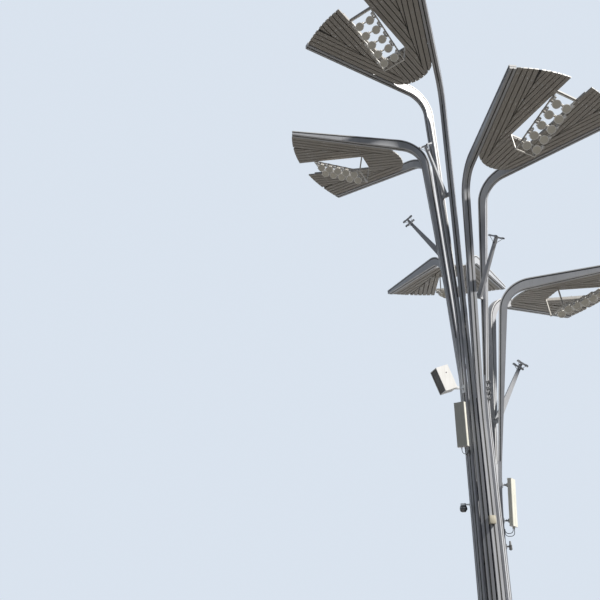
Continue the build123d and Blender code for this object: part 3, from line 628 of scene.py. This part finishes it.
draw_out(0, 0, YOKE_GAUGE)
edit_faces(yoke, lambda face: face.normal.y < -0.9 and face.calc_center_median().z > 0.125)
draw_out(0, -2 * LAMP_RADIUS - 0.01, 0)
draw_out(0, -YOKE_GAUGE, 0)
edit_faces(yoke, lambda face: face.normal.z < -0.9 and face.calc_center_median().y < -LAMP_RADIUS)
draw_out(0, 0, -YOKE_LEG)
leave_edit_mode()
refinish(yoke, zinc)
settle(yoke)
floodlight = joined([lamp, yoke] + fins, "floodlight_pattern")
print("one floodlight:", len(floodlight.data.polygons), "faces")

# %% [markdown]
# Ten floodlights hang under each tray, two to a cross bar. All fifty look the same
# way and down, towards the square they light. A short square stem joins each yoke to
# its bar. Every leaf's lamps become one piece that stands for the frame's plain ones.

# %% Hang the floodlights
AIM = turned(radians(244), "Z") @ turned(radians(-40), "Y")
STEM_GAUGE, STEM_ROUND = 0.036, 0.004
sunk = LAMP_NECK / 4
lamp_stem = block((0, 0, -(LAMP_STEM + sunk) / 2), (STEM_GAUGE, STEM_GAUGE, LAMP_STEM + sunk))
bevel(lamp_stem, STEM_ROUND)
refinish(lamp_stem, zinc)
settle(lamp_stem)
for leaf_name, turn, rank in BRANCHES:
    hung = []
    for row in range(LAMP_ROWS):
        for side in (-1, 1):
            along = -LAMP_FIRST - row * LAMP_PITCH
            root = tray_frame(turn, rank) @ moved(along, side * LAMP_COLUMN, -TRAY_RAIL / 2)
            pivot = (root @ moved(0, 0, -LAMP_STEM - 2 * sunk)).to_translation()
            place = moved(*pivot) @ AIM @ moved(0, 0, sunk - LAMP_RIM - LAMP_BACK)
            hung.append(placed_copy(floodlight, place))
            hung.append(placed_copy(lamp_stem, root))
    lamps = joined(hung, f"{leaf_name}_lamps")
    belongs(lamps, "stem")
    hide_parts(f"{leaf_name}_floodlights")
bpy.data.objects.remove(floodlight)
bpy.data.objects.remove(lamp_stem)

# %% [markdown]
# The slats are hollow, so a cap closes each end at the tip and at the base of a leaf.
# The caps are pale, a painted highlight that makes the slat ends look sunlit. The ends
# are cut to an arc at many angles, so the caps are taken from the slats themselves: a
# copy of their mesh is merged, only the end faces that lie on the arcs are kept, and
# Solidify gives them their thickness.

# %% Slat end caps
TIP_CROWN, TIP_ARC = 4.21, 5.65
BASE_CROWN, BASE_ARC = -0.13, 1.23
NEAR_ARC, NEAR_STEM = 0.004, 1
CAP_THICKNESS = 0.004


def on_arc(point, middle, radius):
    return abs(sqrt((point.x - middle) ** 2 + point.y**2) - radius) < NEAR_ARC


def pick_all_but_ends(slats, leaf):
    """Pick what isn't a slat end on the tip or base arc of a leaf."""
    to_leaf = leaf.inverted()

    def not_end(face):
        place = to_leaf @ face.calc_center_median()
        way = to_leaf.to_3x3() @ face.normal
        tip = on_arc(place, TIP_CROWN - TIP_ARC, TIP_ARC) and way.x > 0.4
        base = place.x < NEAR_STEM and on_arc(place, BASE_CROWN + BASE_ARC, BASE_ARC) and way.x < 0.3
        return not (tip or base) or abs(way.z) > 0.3

    edit_faces(slats, not_end)


for leaf_name, turn, rank in BRANCHES:
    caps = merged_copy(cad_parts[f"{leaf_name}_slats"], Matrix.Identity(4))
    bpy.ops.mesh.dissolve_limited(angle_limit=radians(1))
    pick_all_but_ends(caps, leaf_frame(turn, rank))
    bpy.ops.mesh.delete(type="FACE")
    leave_edit_mode()
    refinish(caps, cap_plastic_and_highlight)
    apply_modifier(caps, "SOLIDIFY", thickness=CAP_THICKNESS, offset=1)
    settle(caps)
    belongs(joined([caps], f"{leaf_name}_end_caps"), "stem")

# %% [markdown]
# Slats are screwed up against the ribs from below. From the ground each screw is a
# bright dot, and the dots follow the ribs and the mitre where two runs of slats meet.
# The pattern head is a low eight-sided disc with a pushed-out middle, copied to each
# spot. One run of slats follows the leaf's edge and the other the slot, so the middle
# of a slat is a straight line in either case.

# %% Screws under the slats
STEM_RADIUS, BAR_POSITION = 0.5, radians(19.5)
BAR_X, BAR_Y = STEM_RADIUS * cos(BAR_POSITION), STEM_RADIUS * sin(BAR_POSITION)
BAR_WIDTH, BEND_ANGLE = 0.216, radians(23.8)
SLAT_WIDTH, SLAT_GAP, SLATS_A_SIDE = 0.152, 0.036, 10
MITRE_BASE, MITRE = 0.39, tan(radians(16.5))
EDGE_ANGLE = atan(tan(BEND_ANGLE) * cos(LEAF_TILT))
LEAF_EDGE = tan(EDGE_ANGLE)
LEAF_BASE = (BAR_Y + (LEAF_RADIUS - BAR_X) * tan(BEND_ANGLE) - BAR_WIDTH / 2 / cos(BEND_ANGLE)
             - SLAT_GAP / cos(EDGE_ANGLE))
RIB_LINES, OFF_MITRE = (0.36, 1.39, 2.56, 3.55), 0.1
MITRE_FROM, MITRE_TO, BESIDE_EDGE_RUN, BESIDE_SLOT_RUN = 0.2, 3.7, 0.18, 0.28
HEAD_RADIUS, HEAD_DEPTH, HEAD_SINK = 0.016, 0.008, 0.002

head = start("cylinder", vertices=8, radius=HEAD_RADIUS, depth=HEAD_DEPTH, location=(0, 0, -HEAD_SINK))
edit_faces(head, lambda face: face.normal.z < -0.9)
sunk_panel(0.004, (0, 0, -0.003))
leave_edit_mode()
refinish(head, zinc)
settle(head)


def screw_points():
    """Points (x, y) of the screws on one half of a leaf."""
    points = []
    middles = [SLAT_WIDTH / 2 + run * (SLAT_WIDTH + SLAT_GAP) for run in range(SLATS_A_SIDE)]
    for rib in RIB_LINES:
        mitre = MITRE_BASE + rib * MITRE
        for middle in middles:
            from_edge = LEAF_BASE + rib * LEAF_EDGE - middle / cos(EDGE_ANGLE)
            if from_edge > mitre + OFF_MITRE:
                points.append((rib, from_edge))
            if SLOT_HALF + middle < mitre - OFF_MITRE:
                points.append((rib, SLOT_HALF + middle))
    for middle in middles:
        inset = middle / cos(EDGE_ANGLE)
        along = (MITRE_BASE - LEAF_BASE + inset) / (LEAF_EDGE - MITRE)
        if MITRE_FROM < along < MITRE_TO:
            beside = along + BESIDE_EDGE_RUN
            points.append((beside, LEAF_BASE + beside * LEAF_EDGE - inset))
        along = (SLOT_HALF + middle - MITRE_BASE) / MITRE
        if MITRE_FROM < along < MITRE_TO:
            points.append((along + BESIDE_SLOT_RUN, SLOT_HALF + middle))
    return points


for leaf_name, turn, rank in BRANCHES:
    heads = []
    for x, y in screw_points():
        for side in (-1, 1):
            heads.append(placed_copy(head, leaf_frame(turn, rank) @ moved(x, side * y, SLAT_LOW)))
    belongs(joined(heads, f"{leaf_name}_screws"), "stem")
bpy.data.objects.remove(head)

# %% [markdown]
# Each arm is a welded box whose inner plate stands out a little past both sides. The
# plate's rim is pale trim paint, a painted highlight, and under it lies a dark strip that
# is a painted shadow line, right up to the tip. Both are taken from the arm itself: a
# merged copy keeps only the faces of the inner plate, shrink or fatten sets their depth, a
# stretch across the arm makes them stand out, and Solidify gives the plate its thickness.
# A black seal along the outer groove is painted shade in the groove, and a pale cap that
# closes the tip is a painted highlight.

# %% Trims along the arms
LEAN_START, LEAN_STEP, TRIM_START = 5.8, 1.57, 2.4
INNER_PLATE, SHADOW_LINE, SEAL, TIP_CAP, PROUD = 0.034, 0.076, 0.033, 0.006, 0.002
TIP_REACH = (LEAF_RADIUS + LEAF_LENGTH * cos(LEAF_TILT) - BAR_X) / cos(BEND_ANGLE)


def arm_frame(turn, side):
    """x runs outwards along the arm's plane, y across the arm from its middle."""
    return branch_turn(turn) @ moved(BAR_X, side * BAR_Y, 0) @ turned(side * BEND_ANGLE, "Z")


def on_inner_plate(face, above):
    wide = all(abs(vertex.co.y) > 0.1 for vertex in face.verts)
    return wide and abs(face.normal.y) < 0.3 and face.calc_center_median().z > above


def on_groove_floor(face, above):
    return all(abs(vertex.co.y) < 0.02 for vertex in face.verts) and abs(face.normal.y) < 0.3


def on_tip(face, above):
    return face.normal.x > 0.5 and face.calc_center_median().x > TIP_REACH - 0.3


# Rows: the inner plate with its pale rim as painted highlight, the dark strip as painted shadow, the black
# groove seal as painted shade, and the pale tip cap as painted highlight.
TRIMS = (
    (on_inner_plate, -PROUD, INNER_PLATE, 1.093, arm_paint, trim_and_highlight_paint),
    (on_inner_plate, INNER_PLATE, SHADOW_LINE - INNER_PLATE, 1.02, dark_fittings_and_shade, dark_fittings_and_shade),
    (on_groove_floor, -SEAL, SEAL, 1.6, backing_and_shade_black, backing_and_shade_black),
    (on_tip, -TIP_CAP, TIP_CAP, 1.0, trim_and_highlight_paint, trim_and_highlight_paint),
)


def trim_on(arm, place, above, rule, sink, thickness, stretch, outside, rim):
    """Keep the faces that a rule picks, sink them, stretch them across and make them a plate."""
    trim = merged_copy(arm, place.inverted())
    edit_faces(trim, lambda face: not rule(face, above))
    bpy.ops.mesh.delete(type="FACE")
    edit_all(trim)
    bpy.ops.transform.shrink_fatten(value=-sink)
    leave_edit_mode()
    trim.data.transform(Matrix.Diagonal((1, stretch, 1, 1)))
    refinish(trim, outside, rim)
    apply_modifier(trim, "SOLIDIFY", thickness=thickness, offset=-1, material_offset_rim=1)
    trim.data.transform(place)
    return trim


for leaf_name, turn, rank in BRANCHES:
    trims = []
    above = LEAN_START + LEAN_STEP * rank + TRIM_START
    for side, side_name in ((1, "left"), (-1, "right")):
        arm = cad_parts[f"{leaf_name}_{side_name}_arm"]
        trims += [trim_on(arm, arm_frame(turn, side), above, *trim) for trim in TRIMS]
    whole = joined(trims, f"{leaf_name}_arm_trims")
    settle(whole)
    belongs(whole, "stem")

# %% [markdown]
# The small equipment is clamped to the outer face of one bar. Seen from the side, that
# face rises almost straight, leans out round a wide bend and runs on straight to the
# knee. So how far out it lies can be worked out at any height, and a clamped piece
# only needs its bar and its height. At a place on a bar x points away from it, y
# sideways and z up.

# %% Places on the bars
LEFT, RIGHT = 1, -1
BAR_FOOT, LEAN_RADIUS = 0.06, 20.0
REACH, REACH_STEP, WAIST_STEP = 1.0, 0.1, 0.02
BRANCH_AT = {leaf_name: (turn, rank) for leaf_name, turn, rank in BRANCHES}


def outer_edge(rank, z):
    """How far a bar's outer face lies out from its foot at height z, up to the knee."""
    reach = REACH - rank * REACH_STEP
    knee_rise = (BAR_X + reach * cos(BEND_ANGLE) - LEAF_RADIUS) * tan(LEAF_TILT)
    knee = Vector((reach, LOWEST_LEAF + rank * LEAF_STEP + knee_rise))
    corner = Vector((-rank * WAIST_STEP, LEAN_START + rank * LEAN_STEP))
    below, above = (corner - Vector((0, BAR_FOOT))).normalized(), (knee - corner).normalized()
    bend = LEAN_RADIUS * tan(below.angle(above) / 2)
    bend_start = corner - below * bend
    if z <= bend_start.y:
        return corner.x + (z - corner.y) * below.x / below.y
    if z >= corner.y + above.y * bend:
        return corner.x + (z - corner.y) * above.x / above.y
    middle = bend_start + Vector((below.y, -below.x)) * LEAN_RADIUS
    return middle.x - sqrt(LEAN_RADIUS**2 - (z - middle.y) ** 2)


def bar_place(branch, side, z, out=0):
    turn, rank = BRANCH_AT[branch]
    return arm_frame(turn, side) @ moved(outer_edge(rank, z) + out, 0, z)


print("outer face of the lowest bars at 10 m:", round(outer_edge(0, 10), 3), "m out")

# %% [markdown]
# Plates, rods and nuts come back often, so each has one short function. A plate is a
# box with bevelled edges, a rod a cylinder with bevelled ends, and a nut a six-sided
# cylinder whose top is pushed up a little smaller.

# %% Plates, rods and nuts
TURN_TO = {"x": (0, pi / 2, 0), "y": (-pi / 2, 0, 0), "z": (0, 0, 0)}


def dressed(piece, material):
    refinish(piece, material)
    settle(piece)
    return piece


def plate_at(middle, size, material, round_to=0.002):
    plate = block(middle, size)
    bevel(plate, round_to)
    return dressed(plate, material)


def rod_at(middle, radius, length, along, material, sides=16):
    rod = start("cylinder", vertices=sides, radius=radius, depth=length, location=middle,
                rotation=TURN_TO[along])
    bevel(rod, min(radius, length) * 0.15)
    return dressed(rod, material)


def nut_at(middle, radius, along, material):
    nut = start("cylinder", vertices=6, radius=radius, depth=radius * 0.9)
    edit_faces(nut, lambda face: face.normal.z > 0.9)
    push(radius * 0.08, 0.84)
    leave_edit_mode()
    nut.rotation_euler = TURN_TO[along]
    nut.location = middle
    return dressed(nut, material)


def fitted(pieces, name, place, body):
    whole = joined(pieces, name)
    whole.data.transform(place)
    return belongs(whole, body)


# %% [markdown]
# The loudspeaker is a column of horns behind a dark perforated sheet. The holes of the
# sheet are drawn in its material: a flat map in metres is cut into small cells, and the
# distance from the middle of each cell makes a round hole.

# %% Perforated sheet
HOLES_PER_METRE, HOLE_MIDDLE = 60, 0.5
grille = finish("grille", (0.075, 0.068, 0.06), (0.1, 0.09, 0.08), (0.05, 0.045, 0.04),
                rough=(0.5, 0.65), streak=0.3, patch=4.0)
tree = grille.node_tree
shader = tree.nodes["Principled BSDF"]
uv = add_node(tree, "UVMap")
cells = add_node(tree, "VectorMath", {"operation": "MULTIPLY"})
cells.inputs[1].default_value = (HOLES_PER_METRE, HOLES_PER_METRE, 0)
in_cell = add_node(tree, "VectorMath", {"operation": "FRACTION"})
to_middle = add_node(tree, "VectorMath", {"operation": "SUBTRACT"})
to_middle.inputs[1].default_value = (HOLE_MIDDLE, HOLE_MIDDLE, 0)
reach = add_node(tree, "VectorMath", {"operation": "LENGTH"})
hole = ramp_between(tree, 0.3, 0.36)
tree.links.new(uv.outputs["UV"], cells.inputs[0])
tree.links.new(cells.outputs["Vector"], in_cell.inputs[0])
tree.links.new(in_cell.outputs["Vector"], to_middle.inputs[0])
tree.links.new(to_middle.outputs["Vector"], reach.inputs[0])
tree.links.new(reach.outputs["Value"], hole.inputs["Value"])
paint = shader.inputs["Base Color"].links[0].from_socket
holed = mix_colour(tree, hole.outputs["Result"], (0.004, 0.004, 0.004), paint)
tree.links.new(holed, shader.inputs["Base Color"])
print("grille nodes:", len(tree.nodes))

# %% [markdown]
# The sheet itself is a thin box in the recess of the loudspeaker, inset twice, so that
# it keeps a raised rim. Screws hold the rim, three bars cross the sheet, a plug closes
# the hole in one side, and small screws hold that side. Everything is placed from the
# tilt pin, because it rides on the loudspeaker.

# %% Loudspeaker front
PIN_HEIGHT, PIN_REACH, SPEAKER_TURN, SPEAKER_TILT = 9.31, 0.33, radians(-12.5), radians(20.7)
SHEET_MIDDLE, SHEET_SIZE = (0.498, 0, 0.373), (0.008, 0.46, 0.768)
RIM_X, RIM_Y, RIM_SCREWS = 0.5135, 0.2465, (-0.028, 0.24, 0.506, 0.774)
CROSS_BARS, SIDE_Y, PLUG_X, PLUG_Z = (0.12, 0.373, 0.626), 0.2598, 0.232, 0.535
speaker = bar_place("top", RIGHT, PIN_HEIGHT, PIN_REACH)
speaker = speaker @ turned(SPEAKER_TURN, "Z") @ turned(SPEAKER_TILT, "Y")
sheet = block(SHEET_MIDDLE, SHEET_SIZE)
edit_faces(sheet, lambda face: face.normal.x > 0.9)
bpy.ops.mesh.inset(thickness=0.012)
sunk_panel(0.004, (-0.004, 0, 0))
leave_edit_mode()
sheet_map = sheet.data.uv_layers.active
for loop in sheet.data.loops:
    point = sheet.data.vertices[loop.vertex_index].co
    sheet_map.data[loop.index].uv = (point.y, point.z)
front = [dressed(sheet, grille)]
for y in (-RIM_Y, RIM_Y):
    front += [rod_at((RIM_X, y, z), 0.007, 0.004, "x", zinc, 10) for z in RIM_SCREWS]
front += [plate_at((0.5035, 0, z), (0.004, 0.43, 0.014), dark_fittings_and_shade, 0.001) for z in CROSS_BARS]
front.append(rod_at((PLUG_X, SIDE_Y + 0.0007, PLUG_Z), 0.021, 0.005, "y", dark_fittings_and_shade, 20))
for z in (-0.024, 0.77):
    front += [rod_at((x, SIDE_Y, z), 0.006, 0.003, "y", zinc, 8) for x in (0.1, 0.48)]
fitted(front, "loudspeaker_front", speaker, "loudspeaker_box")

# %% [markdown]
# A panel antenna has a moulded cap at each end, a seam down its front, rails on its
# back, and clamps with threaded rods and nuts at its two swivels. The caps are plates
# a little wider than the panel, with well rounded edges. Each cable starts in a ribbed
# nut and a soft boot. The panel stands on the line between both clamps, which leans as
# its bar does, and is swung round that line.

# %% Antenna fittings
CLAMP_HALF, SWIVEL_REACH = 0.55, 0.16
PANEL_MIDDLE, PANEL_FRONT, CAP_LEVEL, OUTLETS = 0.14, 0.211, 0.729, 0.055
CAP_SIZE, SEAM_SIZE, RAIL_SIZE = (0.144, 0.374, 0.012), (0.003, 0.012, 1.42), (0.008, 0.02, 1.3)


def antenna_place(branch, side, z, swing):
    ends = [bar_place(branch, side, z + rise, SWIVEL_REACH) for rise in (-CLAMP_HALF, CLAMP_HALF)]
    low, high = (end.to_translation() for end in ends)
    up = (high - low).normalized()
    away = ends[0].col[0].xyz
    away = (away - up * away.dot(up)).normalized()
    upright = Matrix((away, up.cross(away), up)).transposed().to_4x4()
    return moved(*(low + high) / 2) @ upright @ turned(swing, "Z")


ANTENNAS = {
    "left": antenna_place("top", RIGHT, 8.045, radians(30)),
    "right": antenna_place("lowest", RIGHT, 5.6, radians(-24)),
}
for name, place in ANTENNAS.items():
    mould = [plate_at((PANEL_MIDDLE, 0, end * CAP_LEVEL), CAP_SIZE, cap_plastic_and_highlight, 0.005) for end in (-1, 1)]
    mould.append(plate_at((PANEL_FRONT, 0, 0), SEAM_SIZE, radome, 0.001))
    fitted(mould, f"{name}_antenna_caps", place, "stem")
    metal = [plate_at((0.066, side * 0.06, 0), RAIL_SIZE, zinc) for side in (-1, 1)]
    for z in (-CLAMP_HALF, CLAMP_HALF):
        for y in (-0.07, 0.07):
            metal += [nut_at((0.045, y, z + rise), 0.013, "x", zinc) for rise in (-0.05, 0.05)]
            metal.append(rod_at((-0.005, y, z), 0.007, 0.12, "x", dark_fittings_and_shade, 10))
        metal.append(plate_at((-0.052, 0, z), (0.012, 0.18, 0.06), dark_fittings_and_shade))
        metal += [nut_at((0, 0, z + end * 0.05), 0.02, "z", dark_fittings_and_shade) for end in (-1, 1)]
    for y in (-OUTLETS, OUTLETS):
        metal.append(rod_at((PANEL_MIDDLE, y, -0.742), 0.026, 0.018, "z", zinc, 18))
        metal.append(rod_at((PANEL_MIDDLE, y, -0.785), 0.016, 0.05, "z", cable_rubber, 16))
    fitted(metal, f"{name}_antenna_fittings", place, "stem")

# %% [markdown]
# The dome camera shows a bright seam ring, a lens window that looks out and down, and
# three screws under its shoulder. The window is a short cylinder whose outer face is
# inset and pushed in, with a clear dark glass in it. All of it turns with the camera.

# %% Dome camera
CAMERA_HEIGHT, CAMERA_REACH = 5.565, 0.23
WINDOW_RADIUS, WINDOW_DEPTH, WINDOW_TILT = 0.034, 0.03, radians(142)
SEAM_RADIUS, SEAM_GAUGE, SEAM_LEVEL = 0.1195, 0.0035, -0.112
SCREW_COUNT, SCREW_CIRCLE, SCREW_LEVEL = 3, 0.1, -0.1835
lens_glass = finish("lens_glass", (0.01, 0.011, 0.016), (0.014, 0.016, 0.022), (0.02, 0.02, 0.02),
                    rough=(0.04, 0.1), coat=1.0, streak=0.1, patch=20.0, dusty=0.1)
window = start("cylinder", vertices=28, radius=WINDOW_RADIUS, depth=WINDOW_DEPTH)
edit_faces(window, lambda face: face.normal.z > 0.9)
sunk_panel(0.006, (0, 0, -0.006))
leave_edit_mode()
refinish(window, dark_fittings_and_shade, lens_glass)
for face in window.data.polygons:
    if face.normal.z > 0.9 and face.area > 0.001:
        face.material_index = 1
settle(window)
window.data.transform(moved(0.084, 0, -0.198) @ turned(WINDOW_TILT, "Y"))
seam = start("torus", major_segments=48, minor_segments=8, major_radius=SEAM_RADIUS,
             minor_radius=SEAM_GAUGE, location=(0, 0, SEAM_LEVEL))
ball = [window, dressed(seam, zinc)]
for step in range(SCREW_COUNT):
    angle = step * 2 * pi / SCREW_COUNT
    spot = (SCREW_CIRCLE * cos(angle), SCREW_CIRCLE * sin(angle), SCREW_LEVEL)
    ball.append(rod_at(spot, 0.006, 0.006, "z", zinc, 10))
camera_pivot = bar_place("upper", LEFT, CAMERA_HEIGHT, CAMERA_REACH)
fitted(ball, "dome_camera_fittings", camera_pivot, "camera_ball")

# %% [markdown]
# The junction box closes with a lid on four screws and lets its cable in through a
# gland below. It sits beside the middle of its bar.

# %% Junction box
BOX_HEIGHT, BOX_SHIFT, LID_X, SCREWS_Y, SCREWS_Z = 5.02, -0.06, 0.1125, 0.08, 0.105
lid = [plate_at((LID_X, BOX_SHIFT, 0), (0.009, 0.19, 0.24), box_shell, 0.003)]
for y in (BOX_SHIFT - SCREWS_Y, BOX_SHIFT + SCREWS_Y):
    for z in (-SCREWS_Z, SCREWS_Z):
        lid.append(rod_at((LID_X + 0.004, y, z), 0.007, 0.004, "x", dark_fittings_and_shade, 10))
lid.append(plate_at((0.06, BOX_SHIFT, -0.127), (0.06, 0.08, 0.006), dark_fittings_and_shade))
lid.append(nut_at((0.06, BOX_SHIFT, -0.136), 0.018, "z", cable_rubber))
lid.append(rod_at((0.06, BOX_SHIFT, -0.152), 0.012, 0.03, "z", cable_rubber))
fitted(lid, "junction_box_lid", bar_place("middle", RIGHT, BOX_HEIGHT), "stem")

# %% [markdown]
# The sensor's shade is a stack of thin louvres round its octagon. Each is an
# eight-sided disc whose top is pushed up and narrowed, and a cable leaves below.

# %% Sensor
SENSOR_HEIGHT, SENSOR_X = 4.28, 0.13
LOUVRES, LOUVRE_FIRST, LOUVRE_PITCH, LOUVRE_RADIUS = 6, -0.085, 0.024, 0.058
louvres = []
for step in range(LOUVRES):
    louvre = start("cylinder", vertices=8, radius=LOUVRE_RADIUS, depth=0.006, rotation=(0, 0, pi / 8),
                   location=(SENSOR_X, 0, LOUVRE_FIRST + step * LOUVRE_PITCH))
    edit_faces(louvre, lambda face: face.normal.z > 0.9)
    push(0.004, 0.82)
    leave_edit_mode()
    louvres.append(dressed(louvre, sensor_shell))
louvres.append(rod_at((SENSOR_X, 0, -0.108), 0.014, 0.03, "z", cable_rubber))
fitted(louvres, "sensor_louvres", bar_place("lowest", RIGHT, SENSOR_HEIGHT), "stem")

# %% [markdown]
# Along both rails of a tray sit sunlit control boxes and angle brackets, one of each
# to a row of lamps. One box is modelled once with its strap and cable gland, and one
# bracket as an L that is extruded from a small plate, then both are copied along.

# %% Control boxes and brackets on the trays
CASE_LEVEL, CASE_SIZE, CASE_AHEAD, CASE_INSIDE = -0.034, (0.13, 0.1, 0.06), 0.13, 0.045
BRACKET_SIZE, BRACKET_LEVEL, BRACKET_FOOT = (0.07, 0.005, 0.12), -0.04, 0.06
case = plate_at((0, 0, CASE_LEVEL), CASE_SIZE, cap_plastic_and_highlight, 0.006)
edit_faces(case, lambda face: face.normal.z < -0.99)
sunk_panel(0.008, (0, 0, 0.004))
leave_edit_mode()
strap = plate_at((0, 0, -0.0335), (0.02, 0.106, 0.066), zinc, 0.001)
gland = rod_at((0.075, 0, CASE_LEVEL), 0.011, 0.03, "x", cable_rubber, 12)
control_box = joined([case, strap, gland], "control_box_pattern")
bracket = block((0, 0, BRACKET_LEVEL), BRACKET_SIZE)
edit_faces(bracket, lambda face: face.normal.z < -0.9)
push(-BRACKET_SIZE[1])
edit_faces(bracket, lambda face: face.normal.y > 0.9 and face.calc_center_median().z < -0.1)
draw_out(0, BRACKET_FOOT, 0)
leave_edit_mode()
dressed(bracket, cap_plastic_and_highlight)
for leaf_name, turn, rank in BRANCHES:
    carried = []
    for row in range(LAMP_ROWS):
        along = -LAMP_FIRST - row * LAMP_PITCH
        for side in (-1, 1):
            rail = moved(along + CASE_AHEAD, side * (TRAY_HALF - CASE_INSIDE), -TRAY_RAIL)
            edge = moved(along, side * (TRAY_HALF - 0.003), 0.01) @ turned(0 if side < 0 else pi, "Z")
            carried.append(placed_copy(control_box, tray_frame(turn, rank) @ rail))
            carried.append(placed_copy(bracket, tray_frame(turn, rank) @ edge))
    belongs(joined(carried, f"{leaf_name}_tray_equipment"), "stem")
bpy.data.objects.remove(control_box)
bpy.data.objects.remove(bracket)

# %% [markdown]
# On one of the two bars in front, clamps hold a bundle of small fittings. Each clamp is
# a plate with two threaded rods and their nuts, a lug and a thick sleeve, seen as dark
# loops on the bright paint. Each is modelled at the origin, where x points away from
# the bar, and is then laid on the leaning bar.

# %% Clamps on a front bar
CLAMPS_START, CLAMPS_TOWARDS = Vector((0.292, -0.407, 9.06)), Vector((0.323, -0.469, 9.917))
CLAMPS_FACE, CLAMP_RISES, CLAMP_RODS = Vector((0.664, -0.745, -0.078)), (-0.12, 0.06, 0.24, 0.44), 0.085
up_bar = (CLAMPS_TOWARDS - CLAMPS_START).normalized()
away = CLAMPS_FACE.normalized()
upright = (up_bar - away * up_bar.dot(away)).normalized()
on_face = Matrix((away, upright.cross(away), upright)).transposed().to_4x4()
clamps = []
for step, rise in enumerate(CLAMP_RISES):
    parts = [plate_at((0.014, 0, 0), (0.01, 0.2, 0.07), zinc, 0.003),
             plate_at((0.05, 0.03 if step % 2 else -0.03, 0), (0.07, 0.012, 0.05), trim_and_highlight_paint),
             rod_at((0.06, 0, 0), 0.026, 0.13, "z", dark_fittings_and_shade, 20)]
    for y in (-CLAMP_RODS, CLAMP_RODS):
        parts.append(rod_at((0.02, y, 0), 0.008, 0.1, "x", dark_fittings_and_shade, 10))
        parts.append(nut_at((0.024, y, 0), 0.017, "x", dark_fittings_and_shade))
    clamp = joined(parts, f"clamp_{step}")
    clamp.data.transform(moved(*(CLAMPS_START + up_bar * rise)) @ on_face)
    clamps.append(clamp)
belongs(joined(clamps, "front_bar_clamps"), "stem")

# %% [markdown]
# Each spot arm ends in an H of two rails. Two braces in a V hold each rail, plugs close
# the rail ends, and a pad with two nuts waits for a lamp on every end. A brace is a
# thin cylinder laid from one point to another, so a small function turns it in place.
# The head leans as its arm does, from the bridge between the two bars to the H.

# %% Spot arm heads
SPOT_RADIUS, SPOT_DROP, SPOT_DROP_STEP = 1.85, 2.56, 0.105
ROOT_DROP, BRIDGE_INSET, BRIDGE_DEPTH, BRIDGE_HEIGHT = 4.7, 0.02, 0.07, 0.16
RAIL_END, RAIL_SIDE, COLLAR_LEVEL = 0.21, 0.165, -0.24


def spot_frame(turn, rank):
    """The top of a spot arm's head, with z along the arm."""
    height = LOWEST_LEAF + rank * LEAF_STEP
    root = BAR_X + outer_edge(rank, height - ROOT_DROP) * cos(BEND_ANGLE) - BRIDGE_INSET - BRIDGE_DEPTH / 2
    drop = SPOT_DROP + rank * SPOT_DROP_STEP
    lean = atan((SPOT_RADIUS - root) / (ROOT_DROP - BRIDGE_HEIGHT / 2 - drop))
    return branch_turn(turn) @ moved(SPOT_RADIUS, 0, height - drop) @ turned(lean, "Y")


def brace(from_point, to_point, radius, material):
    low, high = Vector(from_point), Vector(to_point)
    rod = rod_at((0, 0, 0), radius, (high - low).length, "z", material, 12)
    along = (high - low).to_track_quat("Z", "Y").to_matrix().to_4x4()
    rod.data.transform(moved(*(low + high) / 2) @ along)
    return rod


for leaf_name, turn, rank in BRANCHES:
    head = []
    for end in (-1, 1):
        for side in (-1, 1):
            x, y = end * RAIL_END, side * RAIL_SIDE
            head.append(plate_at((x + end * 0.002, y, -0.025), (0.005, 0.052, 0.052), dark_fittings_and_shade, 0.001))
            head.append(plate_at((x - end * 0.06, y, 0.004), (0.09, 0.07, 0.008), zinc))
            head += [nut_at((x - end * rest, y, 0.01), 0.012, "z", zinc) for rest in (0.04, 0.08)]
            head.append(brace((0, side * 0.045, COLLAR_LEVEL), (end * 0.15, y, -0.045), 0.009, arm_paint))
    head.append(plate_at((0, 0, COLLAR_LEVEL), (0.09, 0.12, 0.05), dark_fittings_and_shade, 0.004))
    fitted(head, f"{leaf_name}_spot_head", spot_frame(turn, rank), "stem")

# %% [markdown]
# The foot stands outside the picture, but such a mast is always bolted to its
# foundation. Each anchor bolt shows a washer, a hexagon nut and the end of its thread.
# The nut is a six-sided cylinder with its top pushed up a little smaller, and the
# thread end is a second cylinder with a bevelled tip.

# %% Anchor bolts
BOLT_COUNT, BOLT_CIRCLE, FLANGE_TOP = 10, 0.69, 0.06
WASHER_DEPTH, NUT_DEPTH, THREAD_RADIUS, THREAD_LENGTH = 0.008, 0.03, 0.0195, 0.06
bolts = []
for step in range(BOLT_COUNT):
    washer = start("cylinder", vertices=24, radius=0.045, depth=WASHER_DEPTH, location=(0, 0, 0.004))
    nut = start("cylinder", vertices=6, radius=0.036, depth=NUT_DEPTH, location=(0, 0, 0.023))
    edit_faces(nut, lambda face: face.normal.z > 0.9)
    push(0.002, 0.86)
    leave_edit_mode()
    thread = start("cylinder", vertices=20, radius=THREAD_RADIUS, depth=THREAD_LENGTH, location=(0, 0, 0.04))
    bevel(thread, 0.004)
    bevel(washer, 0.002)
    bolt = joined([dressed(part, zinc) for part in (washer, nut, thread)], f"bolt_{step}")
    bolt.data.transform(turned(step * 2 * pi / BOLT_COUNT, "Z") @ moved(BOLT_CIRCLE, 0, FLANGE_TOP))
    bolts.append(bolt)
belongs(joined(bolts, "anchor_bolts"), "stem")
